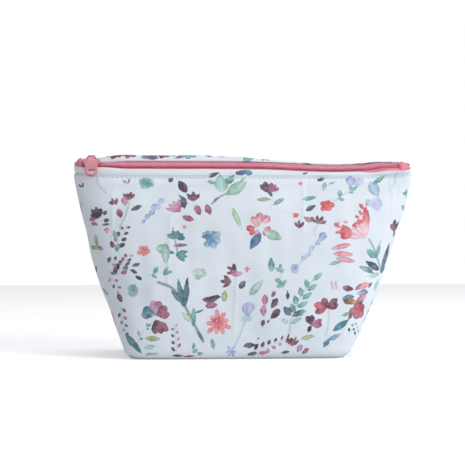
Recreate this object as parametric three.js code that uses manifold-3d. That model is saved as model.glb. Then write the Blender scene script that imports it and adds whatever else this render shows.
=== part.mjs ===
// A zipped makeup bag: padded cotton with a boxed base and a nylon coil zip along its top.
// Millimetres, +Z up. The zip runs along X, the front faces -Y, and the origin lies on the
// ground under the middle of the bag. The cloth layers are closed solids of their real
// thickness, and a small gap is left wherever two pieces would touch.
import * as THREE from 'three';
import { mergeVertices } from 'three/addons/utils/BufferGeometryUtils.js';
import Module from 'manifold-3d';

const wasm = await Module();
wasm.setup();

// The body of the bag
const TOP_WIDTH = 216; // along the zip, seam to seam
const BASE_LENGTH = 140; // along X, between the boxed corners
const BASE_DEPTH = 75; // along Y
const ZIP_HEIGHT = 120; // middle of the zip above the ground
const LIP_DROP = 6.5; // from the zip down to the topstitch, where the front panel's lip folds in
const MOUTH_DEPTH = 16; // front to back between the topstitch lines
const BASE_EDGE_RADIUS = 6;
const SIDE_FULLNESS = 0.65; // how far the side seams belly out, as a share of the taper
const FACE_FULLNESS = 2.2; // power of the front-to-back taper: 1 is straight, more is fuller
const BOX_POWER = 12; // squareness of the plan section at the base
const LENS_POWER = 3; // and at the mouth, where it is a lens
const BOX_FADE = 20; // height over which the square section softens
const REAR_RISE = 4; // the back panel's edge stands this much higher than the front's
const SEAM_LIFT = 3; // both edges climb to this height at the ends of the zip
const LIFT_POWER = 8; // how late the front edge climbs; each wall eases into it as late
const REAR_POWER = 12; // and how late the rear edge comes down to it

// Cloth
const COTTON = 0.6;
const WADDING = 1.8;
const LINING = 0.5;
const GAP = 0.4; // between pieces that touch on the real bag
const SEAM_GAP = 0.4; // from a seam's plane to each panel beside it
const THREAD = 0.5; // height of a seam's thread
const SEAM_THREAD = 0.2; // thickness of the thread between two panel edges
const TOPSTITCH_DROP = 1.2; // topstitch below the panel's edge

// Zip
const ZIP_TILT = THREE.MathUtils.degToRad(25); // the chain faces up and a little forward
const ZIP_Y = -1;
const COIL_INNER = 0.45; // from the zip's middle plane to each coil
const COIL_OUTER = 2.2;
const COIL_HEIGHT = 1.9;
const COIL_CHAMFER = 0.6; // across the chain
const COIL_CHAMFER_HEIGHT = 0.75;
const TAPE = 0.5;
const TAPE_TOP = -0.4; // height of the tape's upper side, across the chain
const LAYER_GAP = 0.3; // between the layers sewn together at the zip
const LIP_THICKNESS = 1.8;
const RIDGE_RISE = 5.4; // ridge of the rear lip above the middle of the zip
const RIDGE_FALL = 2.2; // lower at its two ends
const RIDGE_POWER = 6; // how late it falls
const REAR_END_EDGE = 1.26; // the rear lip's fixed ends reach this far beyond the lip's edge
const REAR_END_FOOT = 1.08; // thickness of their foot
const TAPE_END_INSET = 0.2; // the tapes' fixed ends stop this far short of the lip's edge
const LAYER_STAGGER = 1; // how far each rear layer steps out per millimetre of its height
const BEND_STAGGER = 0.15; // each front layer bends down a little before the one over it
const SPLIT_GAP = 0.4; // between a lip that moves and its fixed ends
const TAPE_INSET = 1.8; // from the side seam to the end of the tape,
const LIP_INSET = 5; // of the lip's cotton,
const LEFT_STOP_INSET = 4; // to the outer side of the top stops
const RIGHT_STOP_INSET = 8; // and to the inner side of the bottom stop
const STOP_LENGTH = 1.6;
const STOP_HEIGHT = 2.1;
const STOP_OVERHANG = 0.2; // beyond the coil's side
const LEFT_PARKING = 3; // fixed chain beyond the parked slider, before the lips can part
const RIGHT_PARKING = 1.6;

// Slider and pull, in the zip's own frame: v across the chain, n up from it
const SLIDER_LENGTH = 11;
const SLIDER_PLATE = 1;
const SLIDER_CLEARANCE = 0.3; // beside the coils
const SLIDER_FLANGE = 0.7;
const SLIDER_WEB = 0.3;
const SHOULDER_OVERHANG = 1; // of the top plate beyond the flanges, at its wide end
const NOSE_OVERHANG = 0.2; // and at its narrow end
const SLIDER_CORNER = 1.4;
const CROWN_LEG = 1;
const CROWN_ROUNDING = 1.5; // from each end of the crown to where its top is straight
const CROWN_BAR = 1.2; // square section of the crown's bar
const EYE_INNER = 1.15;
const EYE_OUTER = 1.75;
const EYE_WIDTH = 4.4;
const EYE_SIDE_GAP = 0.5; // between the eye and each leg of the crown
const PULL_LENGTH = 16.5;
const PULL_WIDTH = 8;
const PULL_THICKNESS = 1.2;
const PULL_LEAN = THREE.MathUtils.degToRad(25); // below the chain's own slope
const PULL_NECK = 0.6; // from the eye to where the plate widens
const PULL_SHOULDER = 1.6; // height of the widening
const WINDOW_LENGTH = 3.3;
const WINDOW_WIDTH = 4.6;
const WINDOW_MARGIN = 1.7;
const WINDOW_ROUNDING = 0.42; // corner size as a share of its length

// Worked out from these
const TOPSTITCH_HEIGHT = ZIP_HEIGHT - LIP_DROP;
const COIL_BASE = TAPE_TOP + LAYER_GAP;
const FLANGE_INNER = COIL_OUTER + SLIDER_CLEARANCE;
const FLANGE_OUTER = FLANGE_INNER + SLIDER_FLANGE;
const LIP_EDGE = FLANGE_OUTER + GAP; // from the zip's middle plane to each folded lip edge
const LEFT_STOP_END = STOP_LENGTH + LEFT_STOP_INSET - TOP_WIDTH / 2;
const RIGHT_STOP = TOP_WIDTH / 2 - RIGHT_STOP_INSET;
const SLIDER_START = LEFT_STOP_END + SPLIT_GAP;
const LIP_LEFT = SLIDER_START + SLIDER_LENGTH + LEFT_PARKING; // the lips can part from here
const LIP_RIGHT = RIGHT_STOP - SPLIT_GAP - SLIDER_LENGTH - RIGHT_PARKING; // to here

// Facets
const PLAN_STEPS = 20; // round half of the bag
const WALL_ROWS = [1, 0.92, 0.8, 0.66, 0.52, 0.38, 0.25, 0.14]; // shares of the panel's height
const BASE_ROWS = [0.66, 0.33];
const LIP_STEPS = 14;
const END_STEPS = 4;

const cloth = (color, roughness = 0.95) =>
  new THREE.MeshStandardMaterial({ color, roughness, metalness: 0 });
const cotton = cloth(0xe9edf3);
const wadding = cloth(0xf4f4f0);
const lining = cloth(0xf0f1f3);
const thread = cloth(0xf2f3f5, 0.8);
const tape = cloth(0xd06c80, 0.85);
const coil = cloth(0xd87385, 0.45);
const enamel = new THREE.MeshStandardMaterial({ color: 0xd9697f, roughness: 0.35, metalness: 0.1 });

const bag = new THREE.Group();

function add(name, geometry, material, parent = bag) {
  const mesh = new THREE.Mesh(geometry, material);
  mesh.name = name;
  parent.add(mesh);
  return mesh;
}

// Geometry helpers -------------------------------------------------------------------------

function geometryOf(points, triangles) {
  // Turns the faces outward, whichever way round the points were given.
  let volume = 0;
  const cross = new THREE.Vector3();
  for (const [i, j, k] of triangles) {
    volume += points[i].dot(cross.crossVectors(points[j], points[k]));
  }
  const index = volume > 0 ? triangles : triangles.map(([i, j, k]) => [i, k, j]);
  const geometry = new THREE.BufferGeometry().setFromPoints(points);
  geometry.setIndex(index.flat());
  geometry.computeVertexNormals();
  return geometry;
}

// A closed solid through a row of cross-sections, each a loop of the same number of points.
// Each side face is split from its higher corner, so that faces lying alongside each other
// in neighbouring solids bend the same way.
function loft(sections) {
  const n = sections[0].length;
  const points = sections.flat();
  const triangles = [];
  for (let s = 0; s + 1 < sections.length; s++) {
    for (let i = 0; i < n; i++) {
      const a = s * n + i;
      const b = s * n + ((i + 1) % n);
      if (points[a].z > points[b].z) triangles.push([a, b, b + n], [a, b + n, a + n]);
      else triangles.push([a, b, a + n], [b, b + n, a + n]);
    }
  }
  const last = (sections.length - 1) * n;
  for (const [i, j, k] of capOf(sections[0])) triangles.push([k, j, i]);
  for (const [i, j, k] of capOf(sections.at(-1))) triangles.push([last + i, last + j, last + k]);
  return geometryOf(points, triangles);
}

// Triangles over a flat loop, in the loop's own direction of travel.
function capOf(loop) {
  const across = new THREE.Vector3().subVectors(loop[1], loop[0]).normalize();
  const normal = new THREE.Vector3();
  const side = new THREE.Vector3();
  loop.forEach((p, i) => normal.add(side.crossVectors(p, loop[(i + 1) % loop.length])));
  normal.normalize();
  const up = new THREE.Vector3().crossVectors(normal, across);
  const flat = loop.map((p) => new THREE.Vector2(p.dot(across), p.dot(up)));
  return THREE.ShapeUtils.triangulateShape(flat, []);
}

// A closed solid between two grids of points. Each grid's last row is its single pole.
function shell(outer, inner) {
  const rows = outer.length - 1;
  const columns = outer[0].length;
  const points = [...outer.flat(), ...inner.flat()];
  const step = rows * columns + 1;
  const at = (layer, r, c) => layer * step + (r < rows ? r * columns + c : rows * columns);
  const triangles = [];
  const quad = (a, b, c, d) => {
    if (a !== b && b !== c && c !== a) triangles.push([a, b, c]);
    if (a !== c && c !== d && d !== a) triangles.push([a, c, d]);
  };
  for (let r = 0; r < rows; r++) {
    for (let c = 0; c + 1 < columns; c++) {
      quad(at(0, r, c), at(0, r + 1, c), at(0, r + 1, c + 1), at(0, r, c + 1));
      quad(at(1, r, c), at(1, r, c + 1), at(1, r + 1, c + 1), at(1, r + 1, c));
    }
    quad(at(0, r, 0), at(1, r, 0), at(1, r + 1, 0), at(0, r + 1, 0));
    const e = columns - 1;
    quad(at(0, r, e), at(0, r + 1, e), at(1, r + 1, e), at(1, r, e));
  }
  for (let c = 0; c + 1 < columns; c++) {
    quad(at(0, 0, c), at(0, 0, c + 1), at(1, 0, c + 1), at(1, 0, c));
  }
  return geometryOf(points, triangles);
}

function solidOf(geometry) {
  const bare = geometry.clone();
  bare.deleteAttribute('normal');
  bare.deleteAttribute('uv');
  const merged = mergeVertices(bare, 1e-4);
  const mesh = new wasm.Mesh({
    numProp: 3,
    vertProperties: new Float32Array(merged.attributes.position.array),
    triVerts: new Uint32Array(merged.index.array),
  });
  mesh.merge();
  return new wasm.Manifold(mesh);
}

function geometryFrom(solid) {
  const { vertProperties, triVerts } = solid.getMesh();
  const geometry = new THREE.BufferGeometry();
  geometry.setAttribute('position', new THREE.BufferAttribute(vertProperties, 3));
  geometry.setIndex(new THREE.BufferAttribute(triVerts, 1));
  geometry.computeVertexNormals();
  return geometry;
}

// A flat outline pushed through `depth`, then turned so that its own x, y and depth
// run along the three directions given, and centred on its depth.
function prism(shape, depth, xDir, yDir, zDir, curveSegments = 6) {
  const geometry = new THREE.ExtrudeGeometry(shape, { depth, bevelEnabled: false, curveSegments });
  geometry.translate(0, 0, -depth / 2);
  geometry.applyMatrix4(new THREE.Matrix4().makeBasis(xDir, yDir, zDir));
  return geometry;
}

const X = new THREE.Vector3(1, 0, 0);
const Y = new THREE.Vector3(0, 1, 0);
const Z = new THREE.Vector3(0, 0, 1);

function roundedOutline(corners, radius) {
  const path = new THREE.Path();
  const n = corners.length;
  corners.forEach((corner, i) => {
    const towards = (other) => {
      const way = new THREE.Vector2().subVectors(other, corner);
      return corner.clone().addScaledVector(way.normalize(), radius);
    };
    const from = towards(corners[(i + n - 1) % n]);
    const to = towards(corners[(i + 1) % n]);
    if (i === 0) path.moveTo(from.x, from.y);
    else path.lineTo(from.x, from.y);
    path.quadraticCurveTo(corner.x, corner.y, to.x, to.y);
  });
  path.closePath();
  return path;
}

// The shape of the bag ---------------------------------------------------------------------

const halfLength = (z) => {
  const t = Math.min(z / ZIP_HEIGHT, 1);
  const rise = t + SIDE_FULLNESS * t * (1 - t);
  return THREE.MathUtils.lerp(BASE_LENGTH / 2, TOP_WIDTH / 2, rise);
};
const halfDepth = (z) => {
  const t = Math.min(z / TOPSTITCH_HEIGHT, 1) ** FACE_FULLNESS;
  return THREE.MathUtils.lerp(BASE_DEPTH / 2, MOUTH_DEPTH / 2, t);
};
const squareness = (z) => LENS_POWER + (BOX_POWER - LENS_POWER) * Math.exp(-z / BOX_FADE);

// The top edges of the two panels, as a height over the plan position x.
const endShare = (x) => Math.abs(x) / halfLength(TOPSTITCH_HEIGHT);
const frontLift = (x) => SEAM_LIFT * endShare(x) ** LIFT_POWER;
const rearLift = (x) => SEAM_LIFT + (REAR_RISE - SEAM_LIFT) * (1 - endShare(x) ** REAR_POWER);
const panelTop = (side, x) => TOPSTITCH_HEIGHT + (side < 0 ? frontLift(x) : rearLift(x));

// Distance of a panel's top edge from the seam's plane.
const edgeDepth = (x) => {
  const n = squareness(TOPSTITCH_HEIGHT);
  return (MOUTH_DEPTH / 2) * Math.max(0, 1 - endShare(x) ** n) ** (1 / n);
};

// One point of a panel's surface. `side` is -1 in front and 1 behind, `turn` runs from 0 at
// the right seam to 1 at the left one, and `inset` is the depth below the outer surface.
function planPoint(side, turn, a, b, n, inset) {
  const angle = turn * Math.PI;
  const x = Math.sign(Math.cos(angle)) * (a - inset) * Math.abs(Math.cos(angle)) ** (2 / n);
  const y = SEAM_GAP + (b - inset - SEAM_GAP) * Math.abs(Math.sin(angle)) ** (2 / n);
  return [x, side * y];
}

function wallPoint(side, turn, share, inset) {
  const z = Math.max(share * TOPSTITCH_HEIGHT, BASE_EDGE_RADIUS);
  const [x, y] = planPoint(side, turn, halfLength(z), halfDepth(z), squareness(z), inset);
  const lift = panelTop(side, x) - TOPSTITCH_HEIGHT;
  return new THREE.Vector3(x, y, z + lift * share ** LIFT_POWER);
}

function panelGrid(side, inset) {
  const turns = Array.from({ length: PLAN_STEPS + 1 }, (_, i) => i / PLAN_STEPS);
  const r = BASE_EDGE_RADIUS;
  const a = halfLength(r) - r;
  const b = halfDepth(r) - r;
  const n = squareness(r);
  const grid = WALL_ROWS.map((share) => turns.map((t) => wallPoint(side, t, share, inset)));
  for (const angle of [0, Math.PI / 4, Math.PI / 2]) {
    const out = (r - inset) * Math.cos(angle);
    const z = r - (r - inset) * Math.sin(angle);
    grid.push(turns.map((t) => new THREE.Vector3(...planPoint(side, t, a + out, b + out, n, 0), z)));
  }
  for (const k of BASE_ROWS) {
    grid.push(turns.map((t) => {
      const [x, y] = planPoint(side, t, a, b, n, 0);
      return new THREE.Vector3(x * k, side * SEAM_GAP + (y - side * SEAM_GAP) * k, inset);
    }));
  }
  grid.push([new THREE.Vector3(0, side * SEAM_GAP, inset)]);
  return grid;
}

const WADDING_INSET = COTTON + GAP;
const LINING_INSET = WADDING_INSET + WADDING + GAP;

for (const [side, name] of [[-1, 'front'], [1, 'back']]) {
  const layer = (inset, depth) => shell(panelGrid(side, inset), panelGrid(side, inset + depth));
  add(`outer_${name}_panel`, layer(0, COTTON), cotton);
  add(`${name}_wadding`, layer(WADDING_INSET, WADDING), wadding);
  add(`${name}_lining`, layer(LINING_INSET, LINING), lining);
}
topstitch('front_topstitch', -1);
topstitch('rear_topstitch', 1);

// The topstitch thread lies on the panel just under the lip.
function topstitch(name, side) {
  const share = 1 - TOPSTITCH_DROP / TOPSTITCH_HEIGHT;
  const sections = [];
  for (let i = 1; i < PLAN_STEPS; i++) {
    const { x, y, z } = wallPoint(side, i / PLAN_STEPS, share, 0);
    const near = y + side * GAP;
    const far = near + side * THREAD;
    const low = z - THREAD / 2;
    const high = z + THREAD / 2;
    sections.push([[near, low], [far, low], [far, high], [near, high]].map(
      ([py, pz]) => new THREE.Vector3(x, py, pz)));
  }
  add(name, loft(sections), thread);
}

// The seams between the two panels: one up each side, one along the base.
const seamLoop = (x, z, dx, dz) => [
  new THREE.Vector3(x, -SEAM_THREAD / 2, z),
  new THREE.Vector3(x, SEAM_THREAD / 2, z),
  new THREE.Vector3(x + dx, SEAM_THREAD / 2, z + dz),
  new THREE.Vector3(x + dx, -SEAM_THREAD / 2, z + dz),
];
for (const [side, name] of [[-1, 'left'], [1, 'right']]) {
  const sections = WALL_ROWS.map((share) => {
    const z = Math.max(share * TOPSTITCH_HEIGHT, BASE_EDGE_RADIUS);
    return seamLoop(side * (halfLength(z) - SEAM_THREAD / 2), z, -side * THREAD, 0);
  });
  add(`${name}_side_seam`, loft(sections), thread);
}
const baseSeamEnd = halfLength(BASE_EDGE_RADIUS) - BASE_EDGE_RADIUS;
add('base_seam', loft([-baseSeamEnd, baseSeamEnd].map(
  (x) => seamLoop(x, SEAM_THREAD / 2, 0, THREAD))), thread);

// The seam across each boxed corner, in the rounded edge at the end of the base.
for (const [side, name] of [[-1, 'left'], [1, 'right']]) {
  const run = BASE_DEPTH / 2 - 2 * BASE_EDGE_RADIUS;
  const out = (BASE_EDGE_RADIUS + GAP + THREAD / 2) * Math.SQRT1_2;
  const x = side * (halfLength(BASE_EDGE_RADIUS) - BASE_EDGE_RADIUS + out);
  const z = BASE_EDGE_RADIUS - out;
  const h = THREAD / 2;
  add(`${name}_corner_seam`, loft([-run, run].map((y) => [
    new THREE.Vector3(x - h, y, z), new THREE.Vector3(x, y, z - h),
    new THREE.Vector3(x + h, y, z), new THREE.Vector3(x, y, z + h),
  ])), thread);
}

// The zip and the lips ---------------------------------------------------------------------

// A point of the zip's frame, v across the chain and n up from it, as [y, z].
const zipPoint = (v, n) => [
  ZIP_Y + v * Math.cos(ZIP_TILT) - n * Math.sin(ZIP_TILT),
  ZIP_HEIGHT + v * Math.sin(ZIP_TILT) + n * Math.cos(ZIP_TILT),
];

// A strip along the zip whose cross-section at x is outline(x), a list of [y, z].
function strip(from, to, steps, outline) {
  const sections = [];
  for (let i = 0; i <= steps; i++) {
    const x = THREE.MathUtils.lerp(from, to, i / steps);
    sections.push(outline(x).map(([y, z]) => new THREE.Vector3(x, y, z)));
  }
  return loft(sections);
}

const LIP_TOP = COIL_BASE + LIP_THICKNESS; // the lip's upper side, in the zip's frame
const LINING_TOP = TAPE_TOP - TAPE - LAYER_GAP;
const channelTop = COIL_BASE + COIL_HEIGHT + GAP;
const plateTop = channelTop + SLIDER_PLATE;
const channelFloor = TAPE_TOP - TAPE - GAP;

// The front lip leans back from the topstitch to the zip. Its layers end side by side just
// above the panel's edge, each `depth` behind the lip's outer surface. Where the panel's edge
// runs in towards the side seam, the lip stays far enough out to keep its thickness.
const frontFoot = (x, depth) => {
  const out = Math.max(edgeDepth(x), LIP_EDGE + LIP_THICKNESS);
  return [Math.min(depth - out, -SEAM_GAP), panelTop(-1, x) + GAP];
};
const TAPE_FOOT = LIP_THICKNESS + LAYER_GAP;
const LINING_FOOT = TAPE_FOOT + TAPE + LAYER_GAP;

const frontLip = (x) => [
  zipPoint(-LIP_EDGE, LIP_TOP), zipPoint(-LIP_EDGE, COIL_BASE),
  frontFoot(x, LIP_THICKNESS), frontFoot(x, 0),
];
const frontTape = (x) => [
  zipPoint(-COIL_INNER, TAPE_TOP), zipPoint(-COIL_INNER, TAPE_TOP - TAPE),
  zipPoint(BEND_STAGGER - LIP_EDGE, TAPE_TOP - TAPE),
  frontFoot(x, TAPE_FOOT + TAPE), frontFoot(x, TAPE_FOOT),
  zipPoint(BEND_STAGGER - LIP_EDGE, TAPE_TOP),
];
const frontLipLining = (x) => [
  zipPoint(2 * BEND_STAGGER - LIP_EDGE, LINING_TOP),
  zipPoint(2 * BEND_STAGGER - LIP_EDGE, LINING_TOP - LINING),
  frontFoot(x, LINING_FOOT + LINING), frontFoot(x, LINING_FOOT),
];

// The rear lip rises from the zip to a ridge and drops behind it to the back panel's edge.
// Its layers are counted by `up`, the height of a layer's surface above that edge: each
// leaves the zip a little later and lies on the edge a little further out than the last.
const rearSurface = (x, up) => {
  const inside = MOUTH_DEPTH / 2 - LINING_INSET - LINING - GAP;
  const n = LINING_TOP - LINING + up;
  const z = panelTop(1, x) + GAP + up;
  return [
    zipPoint(LIP_EDGE, n), zipPoint(LIP_EDGE + GAP / 4 + LAYER_STAGGER * up, n),
    [inside + LAYER_STAGGER * up, z], [edgeDepth(x), z],
  ];
};
const REAR_TAPE_UP = LINING + LAYER_GAP;
const REAR_LIP_UP = REAR_TAPE_UP + TAPE + LAYER_GAP;
const ridge = (x) => ZIP_HEIGHT + RIDGE_RISE - RIDGE_FALL * endShare(x) ** RIDGE_POWER;

const rearLip = (x) => [
  zipPoint(LIP_EDGE, LIP_TOP), ...rearSurface(x, REAR_LIP_UP), [edgeDepth(x), ridge(x)],
];
const rearTape = (x) => [
  zipPoint(COIL_INNER, TAPE_TOP - TAPE), ...rearSurface(x, REAR_TAPE_UP),
  ...rearSurface(x, REAR_TAPE_UP + TAPE).reverse(), zipPoint(COIL_INNER, TAPE_TOP),
];
const rearLipLining = (x) => [...rearSurface(x, 0), ...rearSurface(x, LINING).reverse()];

// At its two ends the rear lip keeps clear of the slider that runs beside it.
const rearLipEnd = (x) => {
  const out = Math.max(edgeDepth(x), LIP_EDGE + REAR_END_EDGE);
  const foot = panelTop(1, x) + GAP;
  return [
    zipPoint(LIP_EDGE, LIP_TOP), zipPoint(LIP_EDGE, COIL_BASE),
    zipPoint(LIP_EDGE, channelFloor - SLIDER_PLATE - GAP),
    [out - REAR_END_FOOT, foot], [out, foot], [out, ridge(x)],
  ];
};

const coilOutline = (side) => () => [
  zipPoint(side * COIL_INNER, COIL_BASE), zipPoint(side * COIL_OUTER, COIL_BASE),
  zipPoint(side * COIL_OUTER, COIL_BASE + COIL_HEIGHT - COIL_CHAMFER_HEIGHT),
  zipPoint(side * (COIL_OUTER - COIL_CHAMFER), COIL_BASE + COIL_HEIGHT),
  zipPoint(side * COIL_INNER, COIL_BASE + COIL_HEIGHT),
];
const flatTape = (side) => () => [
  zipPoint(side * COIL_INNER, TAPE_TOP),
  zipPoint(side * (LIP_EDGE - TAPE_END_INSET), TAPE_TOP),
  zipPoint(side * (LIP_EDGE - TAPE_END_INSET), TAPE_TOP - TAPE),
  zipPoint(side * COIL_INNER, TAPE_TOP - TAPE),
];
const stopOutline = (from, to) => () => [
  zipPoint(from, COIL_BASE), zipPoint(to, COIL_BASE),
  zipPoint(to, COIL_BASE + STOP_HEIGHT), zipPoint(from, COIL_BASE + STOP_HEIGHT),
];

add('front_lip_cotton', strip(LIP_LEFT, LIP_RIGHT, LIP_STEPS, frontLip), cotton);
add('front_zip_tape', strip(LIP_LEFT, LIP_RIGHT, LIP_STEPS, frontTape), tape);
add('front_lip_lining', strip(LIP_LEFT, LIP_RIGHT, LIP_STEPS, frontLipLining), lining);
add('front_coil', strip(LIP_LEFT, LIP_RIGHT, 1, coilOutline(-1)), coil);
add('rear_lip_cotton', strip(LIP_LEFT, LIP_RIGHT, LIP_STEPS, rearLip), cotton);
add('rear_zip_tape', strip(LIP_LEFT, LIP_RIGHT, LIP_STEPS, rearTape), tape);
add('rear_lip_lining', strip(LIP_LEFT, LIP_RIGHT, LIP_STEPS, rearLipLining), lining);
add('rear_coil', strip(LIP_LEFT, LIP_RIGHT, 1, coilOutline(1)), coil);

// The fixed ends of the lips, tapes and coils, beyond the part of the mouth that opens.
for (const [end, name] of [[-1, 'left'], [1, 'right']]) {
  const start = (end < 0 ? LIP_LEFT : LIP_RIGHT) + end * SPLIT_GAP;
  const coilEnd = (end < 0 ? LEFT_STOP_END : RIGHT_STOP) - end * SPLIT_GAP;
  const lipEnd = end * (TOP_WIDTH / 2 - LIP_INSET);
  const tapeEnd = end * (TOP_WIDTH / 2 - TAPE_INSET);
  add(`front_lip_${name}_end`, strip(start, lipEnd, END_STEPS, frontLip), cotton);
  add(`rear_lip_${name}_end`, strip(start, lipEnd, END_STEPS, rearLipEnd), cotton);
  for (const [side, face] of [[-1, 'front'], [1, 'rear']]) {
    add(`${face}_tape_${name}_end`, strip(start, tapeEnd, 1, flatTape(side)), tape);
    add(`${face}_coil_${name}_end`, strip(start, coilEnd, 1, coilOutline(side)), coil);
  }
}
for (const [side, face] of [[-1, 'front'], [1, 'rear']]) {
  const outline = stopOutline(side * COIL_INNER, side * (COIL_OUTER + STOP_OVERHANG));
  add(`${face}_top_stop`, strip(LEFT_STOP_END - STOP_LENGTH, LEFT_STOP_END, 1, outline), coil);
}
add('bottom_stop', strip(RIGHT_STOP, RIGHT_STOP + STOP_LENGTH, 1,
  stopOutline(-COIL_OUTER - STOP_OVERHANG, COIL_OUTER + STOP_OVERHANG)), coil);

// Slider and pull --------------------------------------------------------------------------

const sliderFrame = new THREE.Group();
sliderFrame.position.set(SLIDER_START + SLIDER_LENGTH / 2, ZIP_Y, ZIP_HEIGHT);
sliderFrame.rotation.x = ZIP_TILT;
bag.add(sliderFrame);

const shoulder = FLANGE_OUTER + SHOULDER_OVERHANG;
const nose = FLANGE_OUTER + NOSE_OVERHANG;
const flangeFoot = TAPE_TOP + GAP;
const crownBarHeight = plateTop + GAP + EYE_OUTER;

// The channel: two plates joined by the web that runs between the coils.
function sliderSection() {
  const half = [
    [shoulder, plateTop], [shoulder, channelTop], [FLANGE_OUTER, channelTop],
    [FLANGE_OUTER, flangeFoot], [FLANGE_INNER, flangeFoot], [FLANGE_INNER, channelTop],
    [SLIDER_WEB / 2, channelTop], [SLIDER_WEB / 2, channelFloor],
    [FLANGE_OUTER, channelFloor], [FLANGE_OUTER, channelFloor - SLIDER_PLATE],
  ];
  const mirrored = half.map(([v, n]) => [-v, n]).reverse();
  return new THREE.Shape([...half, ...mirrored].map((corner) => new THREE.Vector2(...corner)));
}

function sliderPlan() {
  const end = SLIDER_LENGTH / 2;
  const corners = [
    [-end, -shoulder], [end, -nose],
    [end, nose], [-end, shoulder],
  ].map((corner) => new THREE.Vector2(...corner));
  return new THREE.Shape(roundedOutline(corners, SLIDER_CORNER).getPoints(4));
}

// The crown is a bar along the slider on two legs, sunk a little into the top plate.
function crown() {
  const end = EYE_WIDTH / 2 + EYE_SIDE_GAP + CROWN_LEG;
  const foot = plateTop - SLIDER_PLATE / 2;
  const top = crownBarHeight + CROWN_BAR / 2;
  const under = crownBarHeight - CROWN_BAR / 2;
  const shape = new THREE.Shape();
  shape.moveTo(-end, foot);
  shape.lineTo(-end + CROWN_LEG, foot);
  shape.lineTo(-end + CROWN_LEG, under);
  shape.lineTo(end - CROWN_LEG, under);
  shape.lineTo(end - CROWN_LEG, foot);
  shape.lineTo(end, foot);
  shape.quadraticCurveTo(end, top, end - CROWN_ROUNDING, top);
  shape.lineTo(-end + CROWN_ROUNDING, top);
  shape.quadraticCurveTo(-end, top, -end, foot);
  return prism(shape, CROWN_BAR, X, Z, Y.clone().negate());
}

function slider() {
  const channel = solidOf(prism(sliderSection(), SLIDER_LENGTH, Y, Z, X));
  const tall = 2 * (crownBarHeight + CROWN_BAR); // more than the channel's whole height
  const plan = solidOf(prism(sliderPlan(), tall, X, Y, Z));
  return geometryFrom(channel.intersect(plan).add(solidOf(crown())));
}
add('slider_body', slider(), enamel, sliderFrame);

// The pull: a plate with a rolled eye round the crown's bar and a window near its free end.
// It is made hanging along -Y with its eye on the X axis.
function pull() {
  const neck = EYE_WIDTH / 2;
  const half = PULL_WIDTH / 2;
  const start = -EYE_INNER;
  const widening = -EYE_OUTER - PULL_NECK;
  const shoulders = widening - PULL_SHOULDER;
  const shape = new THREE.Shape();
  shape.moveTo(neck, start);
  shape.lineTo(-neck, start);
  shape.lineTo(-neck, widening);
  shape.quadraticCurveTo(-half, widening, -half, shoulders);
  shape.lineTo(-half, -PULL_LENGTH + half);
  shape.absarc(0, -PULL_LENGTH + half, half, Math.PI, 2 * Math.PI, false);
  shape.lineTo(half, shoulders);
  shape.quadraticCurveTo(half, widening, neck, widening);
  shape.closePath();
  const low = -PULL_LENGTH + WINDOW_MARGIN;
  const w = WINDOW_WIDTH / 2;
  const window = [
    [-w, low], [w, low], [w, low + WINDOW_LENGTH], [-w, low + WINDOW_LENGTH],
  ].map((corner) => new THREE.Vector2(...corner));
  shape.holes.push(roundedOutline(window, WINDOW_ROUNDING * WINDOW_LENGTH));
  const plate = prism(shape, PULL_THICKNESS, X, Y, Z);
  plate.translate(0, 0, EYE_OUTER - PULL_THICKNESS / 2);
  const eye = new THREE.CylinderGeometry(EYE_OUTER, EYE_OUTER, EYE_WIDTH, 20).rotateZ(Math.PI / 2);
  const bore = new THREE.CylinderGeometry(EYE_INNER, EYE_INNER, PULL_WIDTH * 2, 20);
  bore.rotateZ(Math.PI / 2);
  return geometryFrom(solidOf(plate).add(solidOf(eye)).subtract(solidOf(bore)));
}
const pullTab = add('pull_tab', pull(), enamel, sliderFrame);
pullTab.position.set(0, 0, crownBarHeight);
pullTab.rotation.x = PULL_LEAN;

export default bag;
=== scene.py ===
"""A zipped makeup bag of padded printed cotton, with a coil zip and an enamelled slider.

Lengths are in millimetres and +Z is up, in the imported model's own frame, until a mesh is
made. The cloth has its own flat coordinates: s runs across a panel from its middle, and t
runs up it from the edge of the base. Side -1 is the front of the bag and +1 the back.
"""

import bmesh
import bpy
import numpy as np
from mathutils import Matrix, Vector


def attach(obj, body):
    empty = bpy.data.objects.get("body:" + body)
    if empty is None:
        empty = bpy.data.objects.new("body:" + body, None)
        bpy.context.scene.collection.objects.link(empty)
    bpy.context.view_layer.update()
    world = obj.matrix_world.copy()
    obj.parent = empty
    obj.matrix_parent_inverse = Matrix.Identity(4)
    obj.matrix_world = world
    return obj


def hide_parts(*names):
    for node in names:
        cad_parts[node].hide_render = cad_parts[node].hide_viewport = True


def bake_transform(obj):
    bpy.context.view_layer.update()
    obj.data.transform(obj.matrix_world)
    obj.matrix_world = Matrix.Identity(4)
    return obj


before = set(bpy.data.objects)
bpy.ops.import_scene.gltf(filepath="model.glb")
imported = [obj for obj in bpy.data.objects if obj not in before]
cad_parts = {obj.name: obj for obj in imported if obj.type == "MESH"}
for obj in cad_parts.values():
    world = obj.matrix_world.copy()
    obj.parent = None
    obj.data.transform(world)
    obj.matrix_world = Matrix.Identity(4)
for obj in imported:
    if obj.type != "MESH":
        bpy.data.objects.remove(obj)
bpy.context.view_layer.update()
MM = 0.001

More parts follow.
